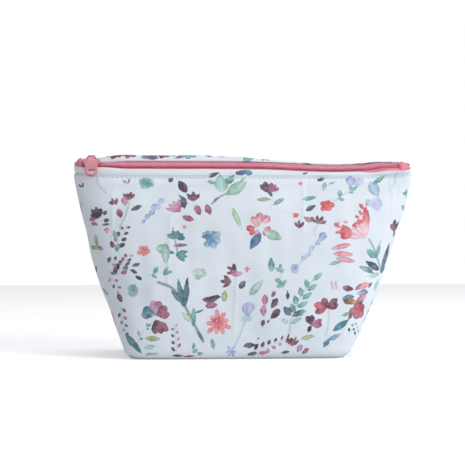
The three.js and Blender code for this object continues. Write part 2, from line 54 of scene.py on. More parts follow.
# ---- Sizes of the CAD model ---------------------------------------------------------------
TOP_WIDTH, BASE_LENGTH, BASE_DEPTH, ZIP_HEIGHT, MOUTH_DEPTH = 216, 140, 75, 120, 16
TOPSTITCH_HEIGHT = ZIP_HEIGHT - 6.5
BASE_EDGE_RADIUS = 6
SIDE_FULLNESS, FACE_FULLNESS = 0.65, 2.2
BOX_POWER, LENS_POWER, BOX_FADE = 12, 3, 20
REAR_RISE, SEAM_LIFT, LIFT_POWER, REAR_POWER = 4, 3, 8, 12
SEAM_GAP = 0.4
LINING_INSET = 3.3
ZIP_TILT, ZIP_Y = 25, -1
LIP_EDGE = 3.6
TAPE_TOP, TAPE = -0.4, 0.5

# ---- Sizes of the cloth and the zip -------------------------------------------------------
HALF_PANEL = 107.5  # half the width of a panel, laid flat
GRID = 0.64  # spacing of the printed cloth's mesh
FOLD_RUN = 4.7  # from the start of the rounded base edge to its middle, where t is 0
BASE_RUN = 37.5  # from the base edge to the seam along the base
STITCH_DROP = 0.8  # topstitch below the panel's top edge
WALL_RUN = 108  # about the height of the wall, for the number of its rows
LEAN = 5.2  # the body leans this far at its base, towards -X
# Its width at the base, and what is added to that by the middle and by the top corners.
DRAWN_IN, BELLY, DRAWN_OUT = 0.968, 0.012, 0.032
ZIP_SLUMP = 17  # the middle of the zip leans this many degrees further forward
FREE_LEFT, FREE_RIGHT = (90, 72), (93, 79)  # |x| where the slump starts, and where it is whole
DIP, DIP_X, DIP_WIDTH = 1.8, 57, 32  # the zip dips a little to the right of its middle
COIL_PITCH, FILAMENT = 1.27, 0.29  # of the coil, and the filament's radius
LEFT_TURNS, RIGHT_TURNS = 80, 78  # of a coil, either side of the middle
REPEAT = np.array([215.0, 128.0])  # of the print
REAR_OFFSET = (58, 12)  # of the print on the rear panel
BASE_PRINT_REACH = 74  # the base's print is stretched beyond this s, where the cloth is cut away


# ---- Shape --------------------------------------------------------------------------------
def lerp(a, b, k):
    return a + (b - a) * k


def smooth(low, high, x):
    k = np.clip((x - low) / (high - low), 0, 1)
    return k * k * (3 - 2 * k)


def half_length(z):
    t = np.minimum(z / ZIP_HEIGHT, 1)
    return lerp(BASE_LENGTH / 2, TOP_WIDTH / 2, t + SIDE_FULLNESS * t * (1 - t))


def half_depth(z):
    share = np.minimum(z / TOPSTITCH_HEIGHT, 1)
    return lerp(BASE_DEPTH / 2, MOUTH_DEPTH / 2, share ** FACE_FULLNESS)


def squareness(z):
    return LENS_POWER + (BOX_POWER - LENS_POWER) * np.exp(-z / BOX_FADE)


def end_share(x):
    return np.minimum(np.abs(x) / half_length(TOPSTITCH_HEIGHT), 1)


def panel_lift(side, x):
    if side < 0:
        return SEAM_LIFT * end_share(x) ** LIFT_POWER
    return SEAM_LIFT + (REAR_RISE - SEAM_LIFT) * (1 - end_share(x) ** REAR_POWER)


def zip_point(x, v, n):
    """(y, z) of a point v across the chain and n up from its middle."""
    away = np.abs(x)
    free = np.where(np.asarray(x) > 0, smooth(*FREE_RIGHT, away), smooth(*FREE_LEFT, away))
    tilt = np.radians(ZIP_TILT + ZIP_SLUMP * free)
    c, s = np.cos(tilt), np.sin(tilt)
    dip = DIP * free * np.exp(-(((x - DIP_X) / DIP_WIDTH) ** 2))
    return ZIP_Y + v * c - n * s, ZIP_HEIGHT + v * s + n * c - dip


def half_section(a, b, power, shares):
    """x and distance from the seams' plane, at these shares of the way round half of a plan
    section, from its right end to its left one."""
    corner = 2 ** (-1 / power)
    up = np.linspace(0, corner, 200)
    face = np.linspace(corner, -corner, 800)

    def curve(u):
        return np.maximum(1 - np.abs(u) ** power, 0) ** (1 / power)

    x = a * np.concatenate([curve(up), face[1:-1], -curve(up)[::-1]])
    y = SEAM_GAP + (b - SEAM_GAP) * np.concatenate([up, curve(face)[1:-1], up[::-1]])
    run = np.concatenate([[0], np.cumsum(np.hypot(np.diff(x), np.diff(y)))])
    return np.interp(shares * run[-1], run, x), np.interp(shares * run[-1], run, y)


def lean(points):
    """Gives points the sewn bag's own shape: narrower than its pattern but for the corners of
    its mouth, and leaning to one side."""
    z = points[..., 2]
    points[..., 0] *= DRAWN_IN + BELLY * smooth(10, 60, z) + DRAWN_OUT * smooth(72, 118, z)
    points[..., 0] -= LEAN * np.clip(1 - z / TOPSTITCH_HEIGHT, 0, 1) ** 1.6
    return points


def wall_heights(step):
    """Heights of the wall's rows above the rounded base edge, and how far up the cloth."""
    z = np.linspace(BASE_EDGE_RADIUS, TOPSTITCH_HEIGHT, int(WALL_RUN / step) + 1)
    y = half_depth(z)
    return z, np.concatenate([[0], np.cumsum(np.hypot(np.diff(z), np.diff(y)))])


def wall(side, step, inset=0.0):
    """Points of a panel's wall, rows from the ground up, with the s of each column and the
    t of each row."""
    shares = np.linspace(0, 1, 2 * int(HALF_PANEL / step) + 1)
    r = BASE_EDGE_RADIUS
    rows, t = [], []
    for angle in np.linspace(np.pi / 2, 0, max(int(r * np.pi / 2 / step), 3)):
        out = (r - inset) * np.cos(angle) - r
        x, y = half_section(half_length(r) + out, half_depth(r) + out, squareness(r), shares)
        rows.append(np.stack([x, side * y, np.full_like(x, r - (r - inset) * np.sin(angle))], 1))
        t.append(r * (np.pi / 2 - angle) - FOLD_RUN)
    heights, runs = wall_heights(step)
    for z, run in zip(heights[1:], runs[1:]):
        x, y = half_section(half_length(z) - inset, half_depth(z) - inset, squareness(z), shares)
        lift = panel_lift(side, x) * (z / TOPSTITCH_HEIGHT) ** LIFT_POWER
        rows.append(np.stack([x, side * y, z + lift], 1))
        t.append(r * np.pi / 2 - FOLD_RUN + run)
    s = HALF_PANEL * (1 - 2 * shares) * -side
    return np.array(rows), s, np.array(t)


TOP_T = BASE_EDGE_RADIUS * np.pi / 2 - FOLD_RUN + wall_heights(1)[1][-1]
STITCH_T = TOP_T - STITCH_DROP


def normals_of(points):
    """Normals of a grid of points, outward on the whole."""
    across = np.gradient(points, axis=1)
    up = np.gradient(points, axis=0)
    n = np.cross(across, up)
    n /= np.maximum(np.linalg.norm(n, axis=2, keepdims=True), 1e-9)
    outward = points * [1, 1, 0]
    if (n * outward).sum() < 0:
        n = -n
    return n


def waves(count, shortest, longest, seed):
    """Smooth random relief, as a function of s and t, about 1 high."""
    rng = np.random.default_rng(seed)
    angle = rng.uniform(0, np.pi, count)
    k = 2 * np.pi / rng.uniform(shortest, longest, count)
    phase = rng.uniform(0, 2 * np.pi, count)
    ks, kt = k * np.cos(angle), k * np.sin(angle)

    def relief(s, t):
        total = np.zeros(np.broadcast(s, t).shape)
        for a, b, p in zip(ks, kt, phase):
            total += np.sin(a * s + b * t + p)
        return total / np.sqrt(count)
    return relief


BROAD, FINE = waves(14, 45, 110, 3), waves(22, 13, 30, 5)
# Faint creases where the cloth was folded: s, and the t where each starts and ends.
CREASES = ((-47, 30, 95), (34, 70, 118), (90, 78, 118), (-5, 10, 60), (66, 5, 50), (-82, 60, 112))


def cloth_relief(side, s, t):
    """How far the padded cloth stands proud of the CAD panel."""
    turn = s + 61 * (side + 1)
    top = np.exp(-(((t - TOP_T) / 14) ** 2))
    side_fade = 1 - np.abs(s / HALF_PANEL) ** 10
    body = np.clip(t / TOP_T, 0, 1)
    h = 1.3 * np.sin(np.pi * body) ** 0.8 * side_fade
    h = h + (0.75 * BROAD(turn, t) + 0.24 * FINE(turn, t)) * smooth(-2, 12, t) * (1 - 0.6 * top)
    pucker = np.sin(turn / 5.1 + 1.3 * np.sin(turn / 23)) + 0.6 * np.sin(turn / 3.1 + 2)
    h = h + 0.13 * pucker * np.exp(-(((t - TOP_T) / 7) ** 2))
    h = h - 0.95 * np.exp(-(((t - STITCH_T) / 1.05) ** 2))
    h = h + 0.45 * np.exp(-(((t - STITCH_T + 5) / 3) ** 2)) * side_fade
    for at, low, high in CREASES:
        h = h + 0.3 * np.exp(-(((turn - at - 0.02 * t) / 1.0) ** 2)) * (
            smooth(low, low + 14, t) * smooth(high, high - 14, t))
    to_corner = np.exp(-((t / 1.6) ** 2)) * smooth(69, 72, np.abs(s))
    h = h - 0.7 * to_corner
    return h


def shape_wall(side, step, below=0.0):
    """The wall as it is sewn and padded, `below` millimetres under its outer surface."""
    points, s, t = wall(side, step)
    n = normals_of(points)
    grid_s, grid_t = np.meshgrid(s, t)
    points = points + n * (cloth_relief(side, grid_s, grid_t) - below)[..., None]
    # Both panels roll inward where they meet at the side seams.
    e = HALF_PANEL - np.abs(grid_s)
    roll = np.clip(1 - e / 2.6, 0, 1) ** 2
    points[..., 0] -= np.sign(points[..., 0]) * 1.5 * roll
    points[..., 1] -= side * 0.36 * np.clip(1 - e / 3, 0, 1)
    points[..., 2] = np.maximum(points[..., 2], below)
    return lean(points), s, t


# ---- Meshes -------------------------------------------------------------------------------
def mesh_object(name, points, faces):
    mesh = bpy.data.meshes.new(name)
    mesh.from_pydata((np.asarray(points, float) * MM).tolist(), [], faces)
    mesh.validate()
    mesh.update()
    obj = bpy.data.objects.new(name, mesh)
    bpy.context.scene.collection.objects.link(obj)
    mesh.shade_smooth()
    mesh.set_sharp_from_angle(angle=np.radians(60))
    return obj


def grid_faces(rows, columns, first=0, closed=False):
    """Quads of a grid of points, as an array. A closed grid joins its last row to its first."""
    r = np.arange(rows if closed else rows - 1)[:, None]
    c = np.arange(columns - 1)[None, :]
    a = r * columns + c
    b = ((r + 1) % rows) * columns + c
    return np.stack([a, a + 1, b + 1, b], 2).reshape(-1, 4) + first


def facing(points, faces, toward):
    """The faces turned so that on the whole they look `toward` (an array of directions)."""
    p = points[faces]
    n = np.cross(p[:, 2] - p[:, 0], p[:, 3] - p[:, 1])
    return faces if (n * toward[faces[:, 0]]).sum() > 0 else faces[:, ::-1]


def set_attribute(obj, name, values, kind="FLOAT"):
    attribute = obj.data.attributes.new(name, kind, "POINT")
    key = "value" if kind == "FLOAT" else "vector"
    attribute.data.foreach_set(key, np.asarray(values, np.float32).ravel())


def set_uv(obj, u, v):
    layer = obj.data.uv_layers.new(name="OFBake")
    corners = np.zeros(len(obj.data.loops), np.int32)
    obj.data.loops.foreach_get("vertex_index", corners)
    layer.data.foreach_set("uv", np.stack([u[corners], v[corners]], 1).astype(np.float32).ravel())


def tube(path, radius, sides):
    """Points and faces of a closed-ended round tube along a path."""
    path = np.asarray(path, float)
    tangent = np.gradient(path, axis=0)
    tangent /= np.linalg.norm(tangent, axis=1, keepdims=True)
    normal = np.cross(tangent[0], [0.31, 0.17, 0.93])  # any way across the path
    rings = []
    for p, d in zip(path, tangent):
        normal = normal - d * (normal @ d)
        normal /= np.linalg.norm(normal)
        side = np.cross(d, normal)
        angle = np.linspace(0, 2 * np.pi, sides, endpoint=False)[:, None]
        rings.append(p + radius * (np.cos(angle) * normal + np.sin(angle) * side))
    points = np.concatenate(rings)
    faces = []
    for i in range(len(path) - 1):
        for k in range(sides):
            a, b = i * sides + k, i * sides + (k + 1) % sides
            faces.append((a, b, b + sides, a + sides))
    faces.append(tuple(range(sides))[::-1])
    faces.append(tuple(range(len(points) - sides, len(points))))
    return points, faces


def pad_faces(rows, columns):
    """Faces of a closed pad, whose points are an outer grid and then an inner one."""
    first = rows * columns
    faces = [tuple(f) for f in grid_faces(rows, columns).tolist()]
    faces += [tuple(f)[::-1] for f in grid_faces(rows, columns, first).tolist()]
    rim = ([(0, c) for c in range(columns - 1)] + [(r, columns - 1) for r in range(rows - 1)]
           + [(rows - 1, c) for c in range(columns - 1, 0, -1)]
           + [(r, 0) for r in range(rows - 1, 0, -1)])
    loop = [r * columns + c for r, c in rim]
    for a, b in zip(loop, loop[1:] + loop[:1]):
        faces.append((b, a, a + first, b + first))
    return faces


def joined(parts):
    """The points and faces of several meshes as one."""
    points, faces, first = [], [], 0
    for p, f in parts:
        points.append(p)
        faces += [tuple(i + first for i in face) for face in f]
        first += len(p)
    return np.concatenate(points), faces


def curve_through(knots, count):
    """A smooth curve through knots (each an array of points), as `count` rows."""
    knots = np.array(knots, float)
    padded = np.concatenate([[2 * knots[0] - knots[1]], knots, [2 * knots[-1] - knots[-2]]])
    rows = []
    for u in np.linspace(0, len(knots) - 1, count):
        i = min(int(u), len(knots) - 2)
        f = u - i
        a, b, c, d = padded[i:i + 4]
        rows.append(0.5 * (2 * b + (c - a) * f + (2 * a - 5 * b + 4 * c - d) * f ** 2
                           + (3 * b - a - 3 * c + d) * f ** 3))
    return np.array(rows)


# ---- Print: strokes of watercolour, in flat cloth millimetres ------------------------------
def srgb(code):
    c = np.array([int(code[i:i + 2], 16) for i in (0, 2, 4)]) / 255
    return np.where(c <= 0.04045, c / 12.92, ((c + 0.055) / 1.055) ** 2.4)


INK = {name: srgb(code) for name, code in {
    "plum": "5f2c56", "burgundy": "7a2a48", "wine": "94385a", "rose": "b5658a", "pink": "d79bb2",
    "aubergine": "3b2238", "brown": "73383f", "coral": "e2606b", "blush": "efa3a6",
    "red": "cf3847",
    "teal": "4d969c", "deep": "2f6673", "navy": "33496e", "blue": "3a7cab", "sky": "afcbe2",
    "lavender": "c2c3e4", "periwinkle": "a3b0d9", "mint": "8fc9bb", "pale": "c3ddd3",
    "green": "78b48e", "sage": "9dbba9", "olive": "9ba768", "lime": "b5c78c", "amber": "d8a24c",
    "slate": "5b7188", "shell": "f1cdd4",
}.items()}

STROKES = []


def petal(s, t, angle, length, width, ink, tip=None, belly=1.0, blunt=0.8):
    """A petal or leaf whose base is at (s, t), pointing at `angle` degrees from +s."""
    STROKES.append(("petal", s, t, np.radians(angle), length, width, INK[ink], INK[tip or ink],
                    belly, blunt))


def stem(points, width, ink):
    STROKES.append(("stem", np.array(points, float), width, INK[ink]))


def wash(s, t, across, up, ink, strength):
    STROKES.append(("wash", s, t, across, up, INK[ink], strength))


def leaf(s, t, angle, length, width, ink, tip=None):
    petal(s, t, angle, length, width, ink, tip, 0.85, 1.0)


def blossom(s, t, r, count, ink, heart, start=90, width=0.75):
    for i in range(count):
        petal(s, t, start + 360 * i / count, r * (0.85 + 0.25 * ((i * 7) % 3) / 2), r * width,
              heart, ink, 1.7, 0.55)


def tulip(s, t, angle, size, ink, heart, count=3, spread=68):
    """Petals spread from one foot to either side of an angle."""
    for i in range(count):
        turn = spread * (i / (count - 1) - 0.5)
        petal(s, t, angle + turn, size * (1 if i % 2 else 0.9), size * 0.31, heart, ink, 1.5,
              0.8)


def sprig(s, t, angle, length, pairs, size, ink, tip, line, bend, width=0.42):
    """A curved stem with pairs of leaves and one at its end."""
    a = np.radians(angle)
    along, across = np.array([np.cos(a), np.sin(a)]), np.array([-np.sin(a), np.cos(a)])

    def at(k):
        return np.array([s, t]) + length * (k * along + bend * np.sin(np.pi * k) * across)

    stem([at(k) for k in np.linspace(0, 1, 9)], 0.42, line)
    for i in range(pairs):
        k = lerp(0.25, 0.86, i / max(pairs - 1, 1))
        for side in (-1, 1):
            p = at(min(k + 0.05 * side, 1))
            reach = size * (1 - 0.35 * k) * (1 + 0.12 * side)
            leaf(*p, angle + side * 48, reach, reach * width, ink, tip)
    leaf(*at(0.95), angle, size * 0.8, size * width * 0.8, tip, ink)


def buds(s, t, angle, length, count, size, inks):
    """A spike of small buds, crowded at its foot."""
    a = np.radians(angle)
    along, across = np.array([np.cos(a), np.sin(a)]), np.array([-np.sin(a), np.cos(a)])
    stem([np.array([s, t]) + along * length * k for k in (0, 0.5, 1)], 0.3, "sage")
    for i in range(count):
        k = (i + 0.5) / count
        side = (-1) ** i
        reach = size * (1.1 - 0.55 * k)
        p = np.array([s, t]) + along * length * k + across * side * reach * 0.25
        petal(*p, angle + side * 42, reach, reach * 0.62, inks[i % len(inks)], None, 1.1, 0.7)


def fan(s, t, petals, *rest):
    """Petals from one foot, each with its own angle and length."""
    for turn, reach in petals:
        petal(s, t, turn, reach, *rest)


def mixed_fan(s, t, width, petals, belly, blunt):
    """Petals from one foot, each with its own angle, length and two inks."""
    for turn, reach, ink, tip in petals:
        petal(s, t, turn, reach, width, ink, tip, belly, blunt)


def each(draw, places, *rest):
    """One kind of stroke at several places. The strokes share the values in `rest`."""
    for place in places:
        draw(*place, *rest)


def upper_left():
    fan(-88, 87, ((158, 7), (132, 8.5), (108, 8.5), (84, 7)), 3.0, "aubergine", "plum", 1.3, 0.8)
    petal(-90, 87, 188, 5.5, 3, "wine", "rose", 1.2, 0.7)
    petal(-89, 83, 172, 5.5, 2.4, "rose", "wine", 1.2, 0.8)
    petal(-85.5, 89, 60, 3.6, 2.6, "aubergine")
    petal(-86, 85, 20, 3.8, 3, "aubergine")
    tulip(-70, 99, 92, 6.5, "burgundy", "wine", 4, 70)
    tulip(-78, 95.5, 120, 6, "wine", "burgundy")
    petal(-72.5, 95, 96, 7, 4.2, "rose", "pink", 1.3, 0.7)
    petal(-75, 87, 105, 6.5, 4, "wine", "rose", 1.3, 0.7)
    stem([(-76, 81), (-72, 90), (-70, 99)], 0.5, "sage")
    leaf(-69, 92, 28, 8, 3.2, "aubergine", "deep")
    wash(-60, 112, 4.6, 4.4, "teal", 0.55)
    blossom(-60, 112, 4.2, 5, "mint", "teal", 20, 0.6)
    tulip(-99, 107, 110, 4.5, "slate", "aubergine", 2, 50)
    tulip(-71, 111, 112, 5, "pink", "aubergine", 2, 60)
    stem([(-91, 117), (-89, 110), (-84, 104)], 0.6, "sky")
    for k, (x, y) in enumerate(((-52, 97), (-54.5, 93), (-57, 90), (-60, 86.5))):
        petal(x, y, 215 + 14 * (k % 2), 6 - 0.6 * k, 3.6 - 0.5 * k, "periwinkle", "sky", 1.1, 0.7)
        petal(x, y, 60 - 20 * (k % 2), 5 - 0.6 * k, 3.4 - 0.5 * k, "sky", "lavender", 1.1, 0.7)
    petal(-45.5, 112, 80, 4.6, 3.2, "aubergine", "plum")
    leaf(-35.5, 105, 118, 10.5, 5.6, "aubergine", "plum")
    petal(-36.5, 93, 98, 9.5, 4.2, "aubergine", "navy", 1.4, 0.8)
    leaf(-38, 101, 130, 4, 1.6, "slate")
    for turn in (100, 122, 144, 166):
        petal(-39, 91.5, turn, 9.5, 2.6, "rose", "pink", 1.2, 0.8)
    tulip(-31.5, 98, 88, 8.5, "plum", "burgundy", 3, 60)
    each(petal, ((-27, 89, 112), (-21, 89, 108)), 8, 4.3, "wine", "rose", 1.2, 0.7)
    petal(-31, 86, 160, 7.5, 3.9, "rose", "wine", 1, 0.6)
    petal(-36, 80, 120, 3.4, 2.2, "pink")


def mint_leaves():
    """Large leaves left of the middle, and the dark strokes above them."""
    stem([(-20, 97), (-15, 102), (-7, 107), (0, 116)], 0.6, "slate")
    leaf(-13.5, 105, 96, 14, 8.5, "pale", "mint")
    leaf(-11, 111, 58, 9, 5.2, "teal", "green")
    leaf(-11, 103, 40, 17, 7.5, "green", "pale")
    leaf(-19, 98, 52, 5, 1.8, "slate")
    petal(-5.5, 119.5, 4, 7.5, 3.6, "navy", "blue", 1, 0.6)
    petal(0, 119.6, -6, 5.5, 3, "blue", "teal", 1, 0.7)
    petal(-22, 118.5, 10, 7.5, 1.6, "wine", "burgundy")
    petal(-22, 116.6, 25, 6.5, 1.8, "aubergine")
    leaf(-23, 113.6, -22, 6.5, 2.6, "olive", "sage")


def upper_right():
    """From the middle of the zip to its right end."""
    fan(14.5, 104.5, ((128, 8), (104, 9)), 3.6, "plum", "aubergine", 1.4, 0.7)
    for turn in (22, 48, 74):
        petal(14.8, 105.5, turn, 7, 3, "wine", "rose", 1.4, 0.7)
    petal(15, 106, -70, 4.6, 2.4, "aubergine")
    stem([(12, 106), (17, 101), (16, 93), (30, 90), (41, 84)], 0.34, "pale")
    leaf(7, 99.5, 2, 9.5, 3.2, "olive", "sage")
    leaf(17, 95.5, 37, 9.5, 3.3, "teal", "sage")
    leaf(35, 100, 14, 10, 3, "mint", "teal")
    leaf(37, 92, 34, 8, 3.4, "aubergine", "slate")
    blossom(31, 89, 2.1, 5, "coral", "red")
    tulip(33.5, 80, 95, 6, "burgundy", "plum", 3, 66)
    petal(36, 88, -35, 6, 3.3, "rose", "pink")
    tulip(44.5, 83, 75, 7, "brown", "burgundy", 4, 110)
    stem([(44.5, 83), (42.5, 79), (43, 76)], 0.4, "lime")
    leaf(45, 113.5, 35, 6.6, 3.2, "aubergine", "slate")
    leaf(36, 119, 10, 4, 1.4, "aubergine")
    blossom(34.5, 111.5, 1.5, 5, "coral", "coral")
    leaf(50, 113, -105, 7, 2.6, "mint", "sage")
    leaf(56.5, 113, 200, 6, 1.4, "green")
    sprig(55, 99, 35, 14, 2, 6.2, "teal", "mint", "sage", 0.05, 0.46)
    blossom(50.5, 96, 4.8, 5, "coral", "red", 80)
    petal(66, 118, -96, 7.5, 6, "periwinkle", "lavender", 1.2, 0.5)
    wash(70, 113, 4, 3.6, "lavender", 0.5)
    leaf(78, 113, -68, 12, 7, "sky", "sky")
    wash(81.5, 97, 3.6, 4.6, "lavender", 0.62)
    wash(76.5, 98, 2.6, 3, "sky", 0.5)
    leaf(79, 110.5, 38, 12, 3, "teal", "green")
    stem([(93, 110), (95, 119)], 0.7, "lavender")
    stem([(90, 104), (90, 112)], 0.5, "pale")


def peony():
    """In the middle, with its leaves and the blue flower beside it."""
    each(petal, (
        (9.5, 82, 96, 8.5, 5, "shell", "pink"), (7.5, 82, 124, 6.5, 3.8, "shell", "blush"),
        (11.5, 82, 66, 7, 4, "shell", "pink"), (6.5, 80.4, 186, 5.6, 4.6, "coral", "red"),
        (6, 78.8, 222, 4.4, 3.2, "red", "coral"), (11, 80, -12, 5, 4.2, "blush", "coral"),
        (10.5, 78.4, -50, 4, 2.8, "pink", "wine")), 1.5, 0.6)
    each(petal, ((8.4, 87, 100), (12, 86.4, 70), (5.6, 86, 130), (13.8, 84, 50), (10, 84, 95),
                 (3.5, 81, 170)), 2.8, 1.1, "rose", "coral")
    petal(7.5, 79.5, -95, 4, 3.5, "lavender", "pink", 1.4, 0.6)
    wash(7.2, 82.6, 1.5, 1.8, "amber", 0.95)
    leaf(9.5, 77, -121, 12.5, 5.6, "navy", "blue")
    leaf(12, 78, -24, 12, 6.4, "pale", "sage")
    leaf(-8, 94, -68, 17, 3.4, "lime", "pale")
    petal(-27, 75.5, -8, 9, 3.6, "navy", "blue", 1.2, 0.7)
    fan(-21, 74, ((30, 7), (-20, 7), (-65, 7.5), (-115, 6.5)), 4.2, "blue", "sky", 1.5, 0.6)
    wash(-21, 77, 5, 2.2, "teal", 0.45)


def carnation():
    """On the right: pale, with strokes of red scattered in three lobes."""
    fan(76, 74, ((172, 14), (154, 13), (134, 11), (114, 14), (96, 18)), 4.0, "shell", "shell",
        1.9, 0.6)
    fan(66.5, 76.5, ((196, 8), (170, 9.5), (145, 9)), 4.4, "blush", "red", 1.3, 0.6)
    petal(76.2, 80, 98, 15, 3.6, "blush", "red", 1.3, 0.6)
    wash(70, 77.5, 5, 3.4, "lavender", 0.5)
    lobes = (((61, 80.5), (4.6, 5.4), 160, 15), ((73.4, 89), (2.6, 7.4), 95, 17),
             ((69, 84), (2.6, 3.6), 125, 6))
    scatter = np.random.default_rng(19)
    for (x, y), (across, up), turn, count in lobes:
        for _ in range(count):
            a, r = scatter.uniform(0, 2 * np.pi), np.sqrt(scatter.uniform())
            petal(x + across * r * np.cos(a), y + up * r * np.sin(a), turn + scatter.normal(0, 16),
                  scatter.uniform(2, 4.6), scatter.uniform(1.1, 2.3),
                  scatter.choice(["red", "coral", "red", "blush"]), "coral", 1.1, 0.7)
    stem([(77, 73), (80, 68), (84, 60), (89, 52)], 0.7, "teal")
    stem([(82, 64), (85, 72)], 0.5, "sage")
    leaf(82, 61, 138, 9, 4.4, "teal", "mint")
    leaf(82.5, 61, 78, 9.5, 3, "teal", "sage")
    leaf(87, 53, 152, 14, 4, "deep", "navy")
    leaf(89, 51, 80, 21, 5, "deep", "navy")
    leaf(89, 51, 34, 10, 3.2, "teal", "deep")
    leaf(88, 51, 190, 12, 3, "mint", "pale")
    each(petal, ((53, 67, 12), (54, 64, -4), (56, 61, -10)), 13, 3.4, "pink", "blush", 1, 0.7)


def lavender_sprig():
    petal(46, 72, 60, 6.5, 5, "lavender", "periwinkle", 1.2, 0.6)
    each(petal, ((43, 69, 50, 6), (40, 65, 70, 5), (37, 62, 40, 5), (35, 59, 60, 5)), 2.8, "sky",
         "lavender", 1.1, 0.7)
    stem([(31, 55), (38, 62), (46, 73)], 0.4, "sky")
    wash(31, 54.5, 2.6, 3, "periwinkle", 0.6)
    wash(31.6, 55, 0.9, 0.9, "slate", 0.9)


def middle_left():
    """A teal fan and spikes of berries."""
    stem([(-44, 81), (-42, 72), (-40, 62)], 0.5, "slate")
    for turn in (150, 110, 75, 40, 10):
        petal(-42, 73.5, turn, 6, 3, "deep", "teal", 1.4, 0.7)
    for turn, ink in ((12, "deep"), (-14, "teal"), (-38, "deep"), (160, "deep")):
        petal(-42, 64, turn, 8, 2.6, ink, "teal", 1.2, 0.8)
    petal(-43, 69, 6, 8.5, 2.4, "rose", "slate", 1, 0.8)
    leaf(-54, 67, 4, 9, 6, "mint", "pale")
    leaf(-48, 71, -88, 14, 5.6, "sage", "pale")
    buds(-79, 66, 66, 17, 8, 4.6, ("burgundy", "aubergine", "rose", "aubergine"))
    buds(-77, 50, 62, 15, 10, 4.4, ("plum", "rose", "aubergine", "slate", "pink"))
    buds(-84, 57, 20, 9, 4, 4, ("aubergine", "pink", "plum"))
    each(petal, ((-68, 56, 20), (-69, 54, -30), (-66, 50, -28)), 5.2, 2.4, "navy", "aubergine")
    leaf(-80, 79, -65, 7, 3, "teal", "mint")
    leaf(-77, 71, -95, 6.5, 3, "sage", "teal")
    leaf(-92, 77, -80, 9, 2.8, "lime", "green")
    leaf(-97, 69, -14, 8.5, 2.8, "olive", "lime")
    blossom(-84, 79.5, 2, 4, "coral", "coral")
    blossom(-61, 66, 4.2, 5, "blush", "red", 60)
    petal(-86, 66.5, 150, 5, 2.6, "pink", "plum")
    petal(-82, 83.5, 190, 5, 1.6, "slate")
    sprig(-58, 50, 10, 11, 2, 5.6, "teal", "mint", "pale", 0.1, 0.5)
    wash(-67.5, 41, 3.2, 3.8, "teal", 0.6)
    buds(-83, 53, -62, 15, 6, 3.6, ("slate", "pink", "rose", "aubergine"))
    petal(-77.5, 39, -62, 6, 3.4, "aubergine", "brown")
    buds(-76, 31, -80, 17, 7, 3.4, ("slate", "aubergine", "rose"))


def grass_sprig():
    stem([(-24, 10), (-30, 21), (-36, 32), (-43, 42), (-52, 46)], 0.9, "deep")
    leaf(-36.5, 31, 102, 18, 4, "deep", "teal")
    leaf(-35.5, 31, 86, 19, 3.6, "deep", "navy")
    leaf(-37.5, 33, 128, 12, 2.8, "teal", "slate")
    leaf(-30.5, 19, 88, 12, 3.4, "teal", "green")
    leaf(-30, 27, 22, 7, 1.6, "teal")
    leaf(-31, 22, 140, 9, 3.6, "lime", "pale")
    leaf(-28, 17, -58, 9, 2, "deep", "slate")
    wash(-27, 52, 4.6, 3.4, "sage", 0.42)
    wash(-28, 49, 1.8, 1.6, "sage", 0.6)


def many_coloured_blossom():
    """At the lower left, with the leaves round it."""
    mixed_fan(-54, 26, 5.2, (
        (98, 9, "rose", "pink"), (70, 9, "lavender", "rose"), (35, 9, "plum", "wine"),
        (4, 9, "wine", "rose"), (150, 8.5, "slate", "teal"), (178, 8.5, "sky", "teal")), 1.7, 0.55)
    petal(-56, 25, 160, 4, 3, "aubergine", "navy")
    mixed_fan(-54, 23.5, 4.8, ((-42, 10.5, "wine", "rose"), (-66, 9.5, "burgundy", "wine"),
                               (-92, 9, "aubergine", "burgundy")), 1.6, 0.6)
    sprig(-66, 9, 52, 13, 2, 4.4, "teal", "mint", "pale", 0.08)
    leaf(-61, 12, -2, 11, 3.2, "olive", "lime")
    leaf(-74, 15, -50, 17, 4.4, "deep", "teal")
    leaf(-62, 6, 10, 8, 2.6, "mint", "sky")
    leaf(-63, 2, 4, 11, 2, "lime", "sage")
    buds(-41, 3, 94, 17, 8, 3.4, ("plum", "rose", "aubergine", "pink"))
    petal(-45, 1, 0, 8, 2.2, "slate", "plum")
    petal(-38, 0, 6, 9, 1.8, "burgundy", "coral")


